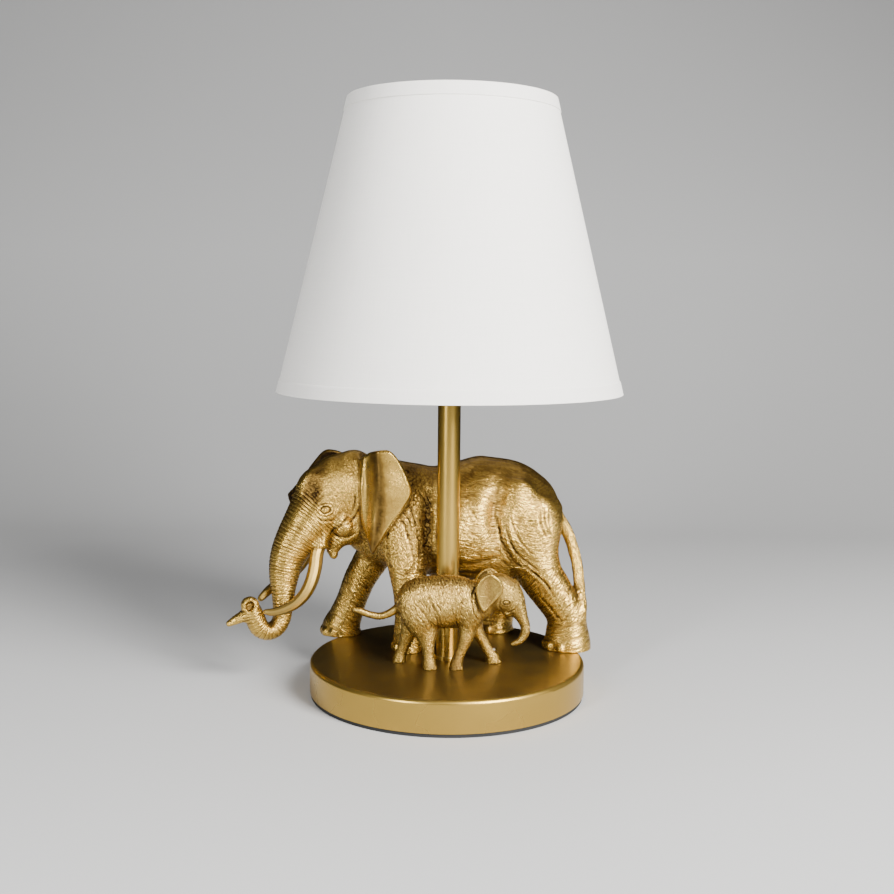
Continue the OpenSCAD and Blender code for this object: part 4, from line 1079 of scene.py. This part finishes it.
def revolve(name, profile, bumps, look):
    """A closed skin round the Z axis from a closed profile of (radius, z); bumps(angle, z) moves it out."""
    ring = np.array(profile)
    count = len(ring)
    angle = np.pi / 2 + np.arange(TURNS) * 2 * np.pi / TURNS
    a, z = np.meshgrid(angle, ring[:, 1], indexing="ij")
    r = ring[None, :, 0] + bumps(a, z)
    points = np.stack([r * np.cos(a), r * np.sin(a), z], 2).reshape(-1, 3) * MM
    sides = np.linalg.norm(np.diff(np.vstack([ring, ring[:1]]), axis=0), axis=1)
    run = np.concatenate([[0], np.cumsum(sides)]) * MM
    i, j = np.divmod(np.arange(TURNS * count), count)
    k, m = (i + 1) % TURNS, (j + 1) % count
    faces = columns(i * count + j, k * count + j, k * count + m, i * count + m)
    u, v = columns(i, i + 1, i + 1, i) / TURNS, run[columns(j, j, j + 1, j + 1)]
    piece = smooth_object(name, points, faces, look)
    uvs = np.stack([u, v], 2).astype(np.float32)
    piece.data.uv_layers.new(name="cloth").data.foreach_set("uv", uvs.ravel())
    sharp = piece.modifiers.new("edges", "EDGE_SPLIT")
    sharp.split_angle = math.radians(40)
    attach(piece, "shade")
    return piece


def back_gap(a, z):
    """Distance round the shade from its back, in millimetres."""
    turn = np.abs((a - np.pi / 2 + np.pi) % (2 * np.pi) - np.pi)
    return turn * wall_radius(z)


def cloth_bumps(a, z):
    wave = 0.10 * np.sin(3 * a + 0.5) + 0.06 * np.sin(7 * a + z / 60)
    return wave * np.sin(np.pi * (z - CONE_LOW[2]) / (CONE_HIGH[2] - CONE_LOW[2]))


def tape_bumps(a, z):
    return 0.03 * np.sin(23 * a) + 0.02 * np.sin(57 * a + 1.0) + SEAM_RISE * ease(*SEAM_EDGE, back_gap(a, z))


def add_shade():
    cloth = linen("shade_linen", CLOTH, 1100, 2600)
    tape = linen("shade_tape", tuple(0.97 * c for c in CLOTH), 1300, 2600)
    z = np.linspace(CONE_LOW[2], CONE_HIGH[2], 40)
    outer = [(wall_radius(v), v) for v in z]
    inner = [(wall_radius(v) - CLOTH_T, v) for v in z[::-1]]
    cone = revolve("shade_cloth", outer + inner, cloth_bumps, cloth)
    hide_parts("shade_cone")
    edges = {"shade_bottom_tape": (TAPE_LOW[0][2], 1), "shade_top_tape": (TAPE_HIGH[1][2], -1)}
    for node, (edge, way) in edges.items():
        r = wall_radius(edge)
        far = edge + way * (TAPE_LOW[1][2] - TAPE_LOW[0][2])
        gap = CLOTH_T + WIRE_ROOM
        web, flap = edge + way * TAPE_T, edge + way * FLAP
        profile = [(r + TAPE_T - 0.15, edge), (r + TAPE_T, edge + way * 0.15)]
        profile += [(wall_radius(v) + TAPE_T, v) for v in np.linspace(edge + way * 0.8, far - way * 0.25, 6)]
        profile += [(wall_radius(far) + TAPE_T - 0.2, far), (wall_radius(far) + 0.02, far)]
        profile += [(wall_radius(web) + 0.02, web), (wall_radius(web) - gap, web)]
        profile += [(wall_radius(flap) - gap, flap), (wall_radius(flap) - gap - TAPE_T, flap)]
        profile += [(r - gap - TAPE_T, edge + way * 0.2), (r - gap, edge)]
        piece = revolve(node.replace("shade_", "cloth_"), profile, tape_bumps, tape)
        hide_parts(node)


# ---- stage


def area_light(name, at, target, size, power, colour=(1, 1, 1)):
    data = bpy.data.lights.new(name, "AREA")
    data.shape = "RECTANGLE"
    data.size, data.size_y = size
    data.energy = power
    data.color = colour
    lamp = link(name, data)
    lamp.location = at
    lamp.rotation_euler = (Vector(target) - Vector(at)).to_track_quat("-Z", "Y").to_euler()
    return lamp


def grey_sheet(name, rows, look, mirrored=False):
    """A strip of paper between the two edge points of each row; only a mirrored one shows in the gold."""
    faces = [(2 * i, 2 * i + 1, 2 * i + 3, 2 * i + 2) for i in range(len(rows) - 1)]
    sheet = smooth_object(name, [point for row in rows for point in row], faces, look)
    sheet.visible_glossy = mirrored


def graded_paper():
    """Matte grey paper with painted light falloff: pale round the lamp, painted darker behind it, far in
    front, high up and up on the right.
    """
    m = Nodes("backdrop_paper")
    x, y, z = m.add("SeparateXYZ", {"Vector": m.place()}).outputs
    greys = (0.2, 0.40), (0.42, 0.61), (0.72, 0.47), (1.0, 0.34)
    # painted light falloff over floor and wall, and painted shade in the upper right corner
    tone = m.ramp(m.span(y, 0.0, 1.0, -2.0, 0.8), *((at, (grey,) * 3) for at, grey in greys))
    corner = m.times(m.span(x, 0.0, 0.35, 0.0, 0.7), m.span(z, 0.2, 1.0, 0.1, 0.7))
    shade = m.times(m.span(z, 1.0, 0.68, 0.3, 0.75), m.math("SUBTRACT", 1.0, corner))
    m.set(Base_Color=m.times(tone, shade), Roughness=0.85)
    m.set(Normal=m.bump(m.noise(300.0, 2.0), 0.1, 0.0001))
    return m.material


def add_stage():
    """A grey room whose back curves up, and softboxes. The gold mirrors the paper round the lamp only."""
    reach, top, back = 3.4, 1.1, 1.0  # of the room, in metres
    near, split, aside = -1.0, 0.25, 0.7  # front, back and half-width of the mirrored paper
    bend = radius = 0.5  # the back wall starts to curve up here
    curve = [(bend + radius * math.sin(a), radius * (1 - math.cos(a))) for a in np.linspace(0, np.pi / 2, 24)]
    paper = graded_paper()

    def across(profile, left, right):
        return [((left, y, z), (right, y, z)) for y, z in profile]

    floor = [(near, 0), (split, 0)]
    grey_sheet("floor", across(floor, -aside, aside), paper, mirrored=True)
    grey_sheet("floor_left", across(floor, -reach, -aside), paper)
    grey_sheet("floor_right", across(floor, aside, reach), paper)
    grey_sheet("floor_front", across([(-reach, top), (-reach, 0), (near, 0)], -reach, reach), paper)
    grey_sheet("wall", across([(split, 0)] + curve + [(back, top)], -reach, reach), paper)
    for name, x in (("wall_left", -reach), ("wall_right", reach)):
        grey_sheet(name, [((x, -reach, z), (x, back, z)) for z in (0, top)], paper)

    world = bpy.data.worlds.new("studio")
    bpy.context.scene.world = world
    world.use_nodes = True
    sky = world.node_tree.nodes["Background"].inputs
    sky["Color"].default_value = (0.5, 0.5, 0.5, 1)
    sky["Strength"].default_value = 0.03

    middle = (0, 0, 0.16)
    area_light("right_box", (0.85, -0.95, 0.80), middle, (0.58, 0.9), 76, (1.0, 0.99, 0.97))
    area_light("left_box", (-0.72, -1.05, 0.52), middle, (0.24, 0.8), 15, (0.98, 0.99, 1.0))
    above = area_light("top_fill", (-0.1, 0.1, 1.5), (0, 0.05, 0), (1.6, 1.6), 9)
    above.visible_glossy = False  # it only softens the shadows on paper and cloth


# ---- the scene

ADULT_TONE = ((0.63, 0.405, 0.085), (0.25, 0.145, 0.032), (0.02, 0.009, 0.002), 0.24, 0.00036)
# painted shade: the calf's gold is a darker copy of the adult's
CALF_TONE = ((0.43, 0.282, 0.064), (0.22, 0.13, 0.032), (0.025, 0.012, 0.003), 0.27, 0.00025)

add_camera()
add_stage()
dress_cad()
add_shade()
sculpt("adult_skin", adult_clay(), adult_hide, "adult_elephant", ADULT_TONE)
sculpt("calf_skin", calf_clay(), calf_hide, "calf_elephant", CALF_TONE)
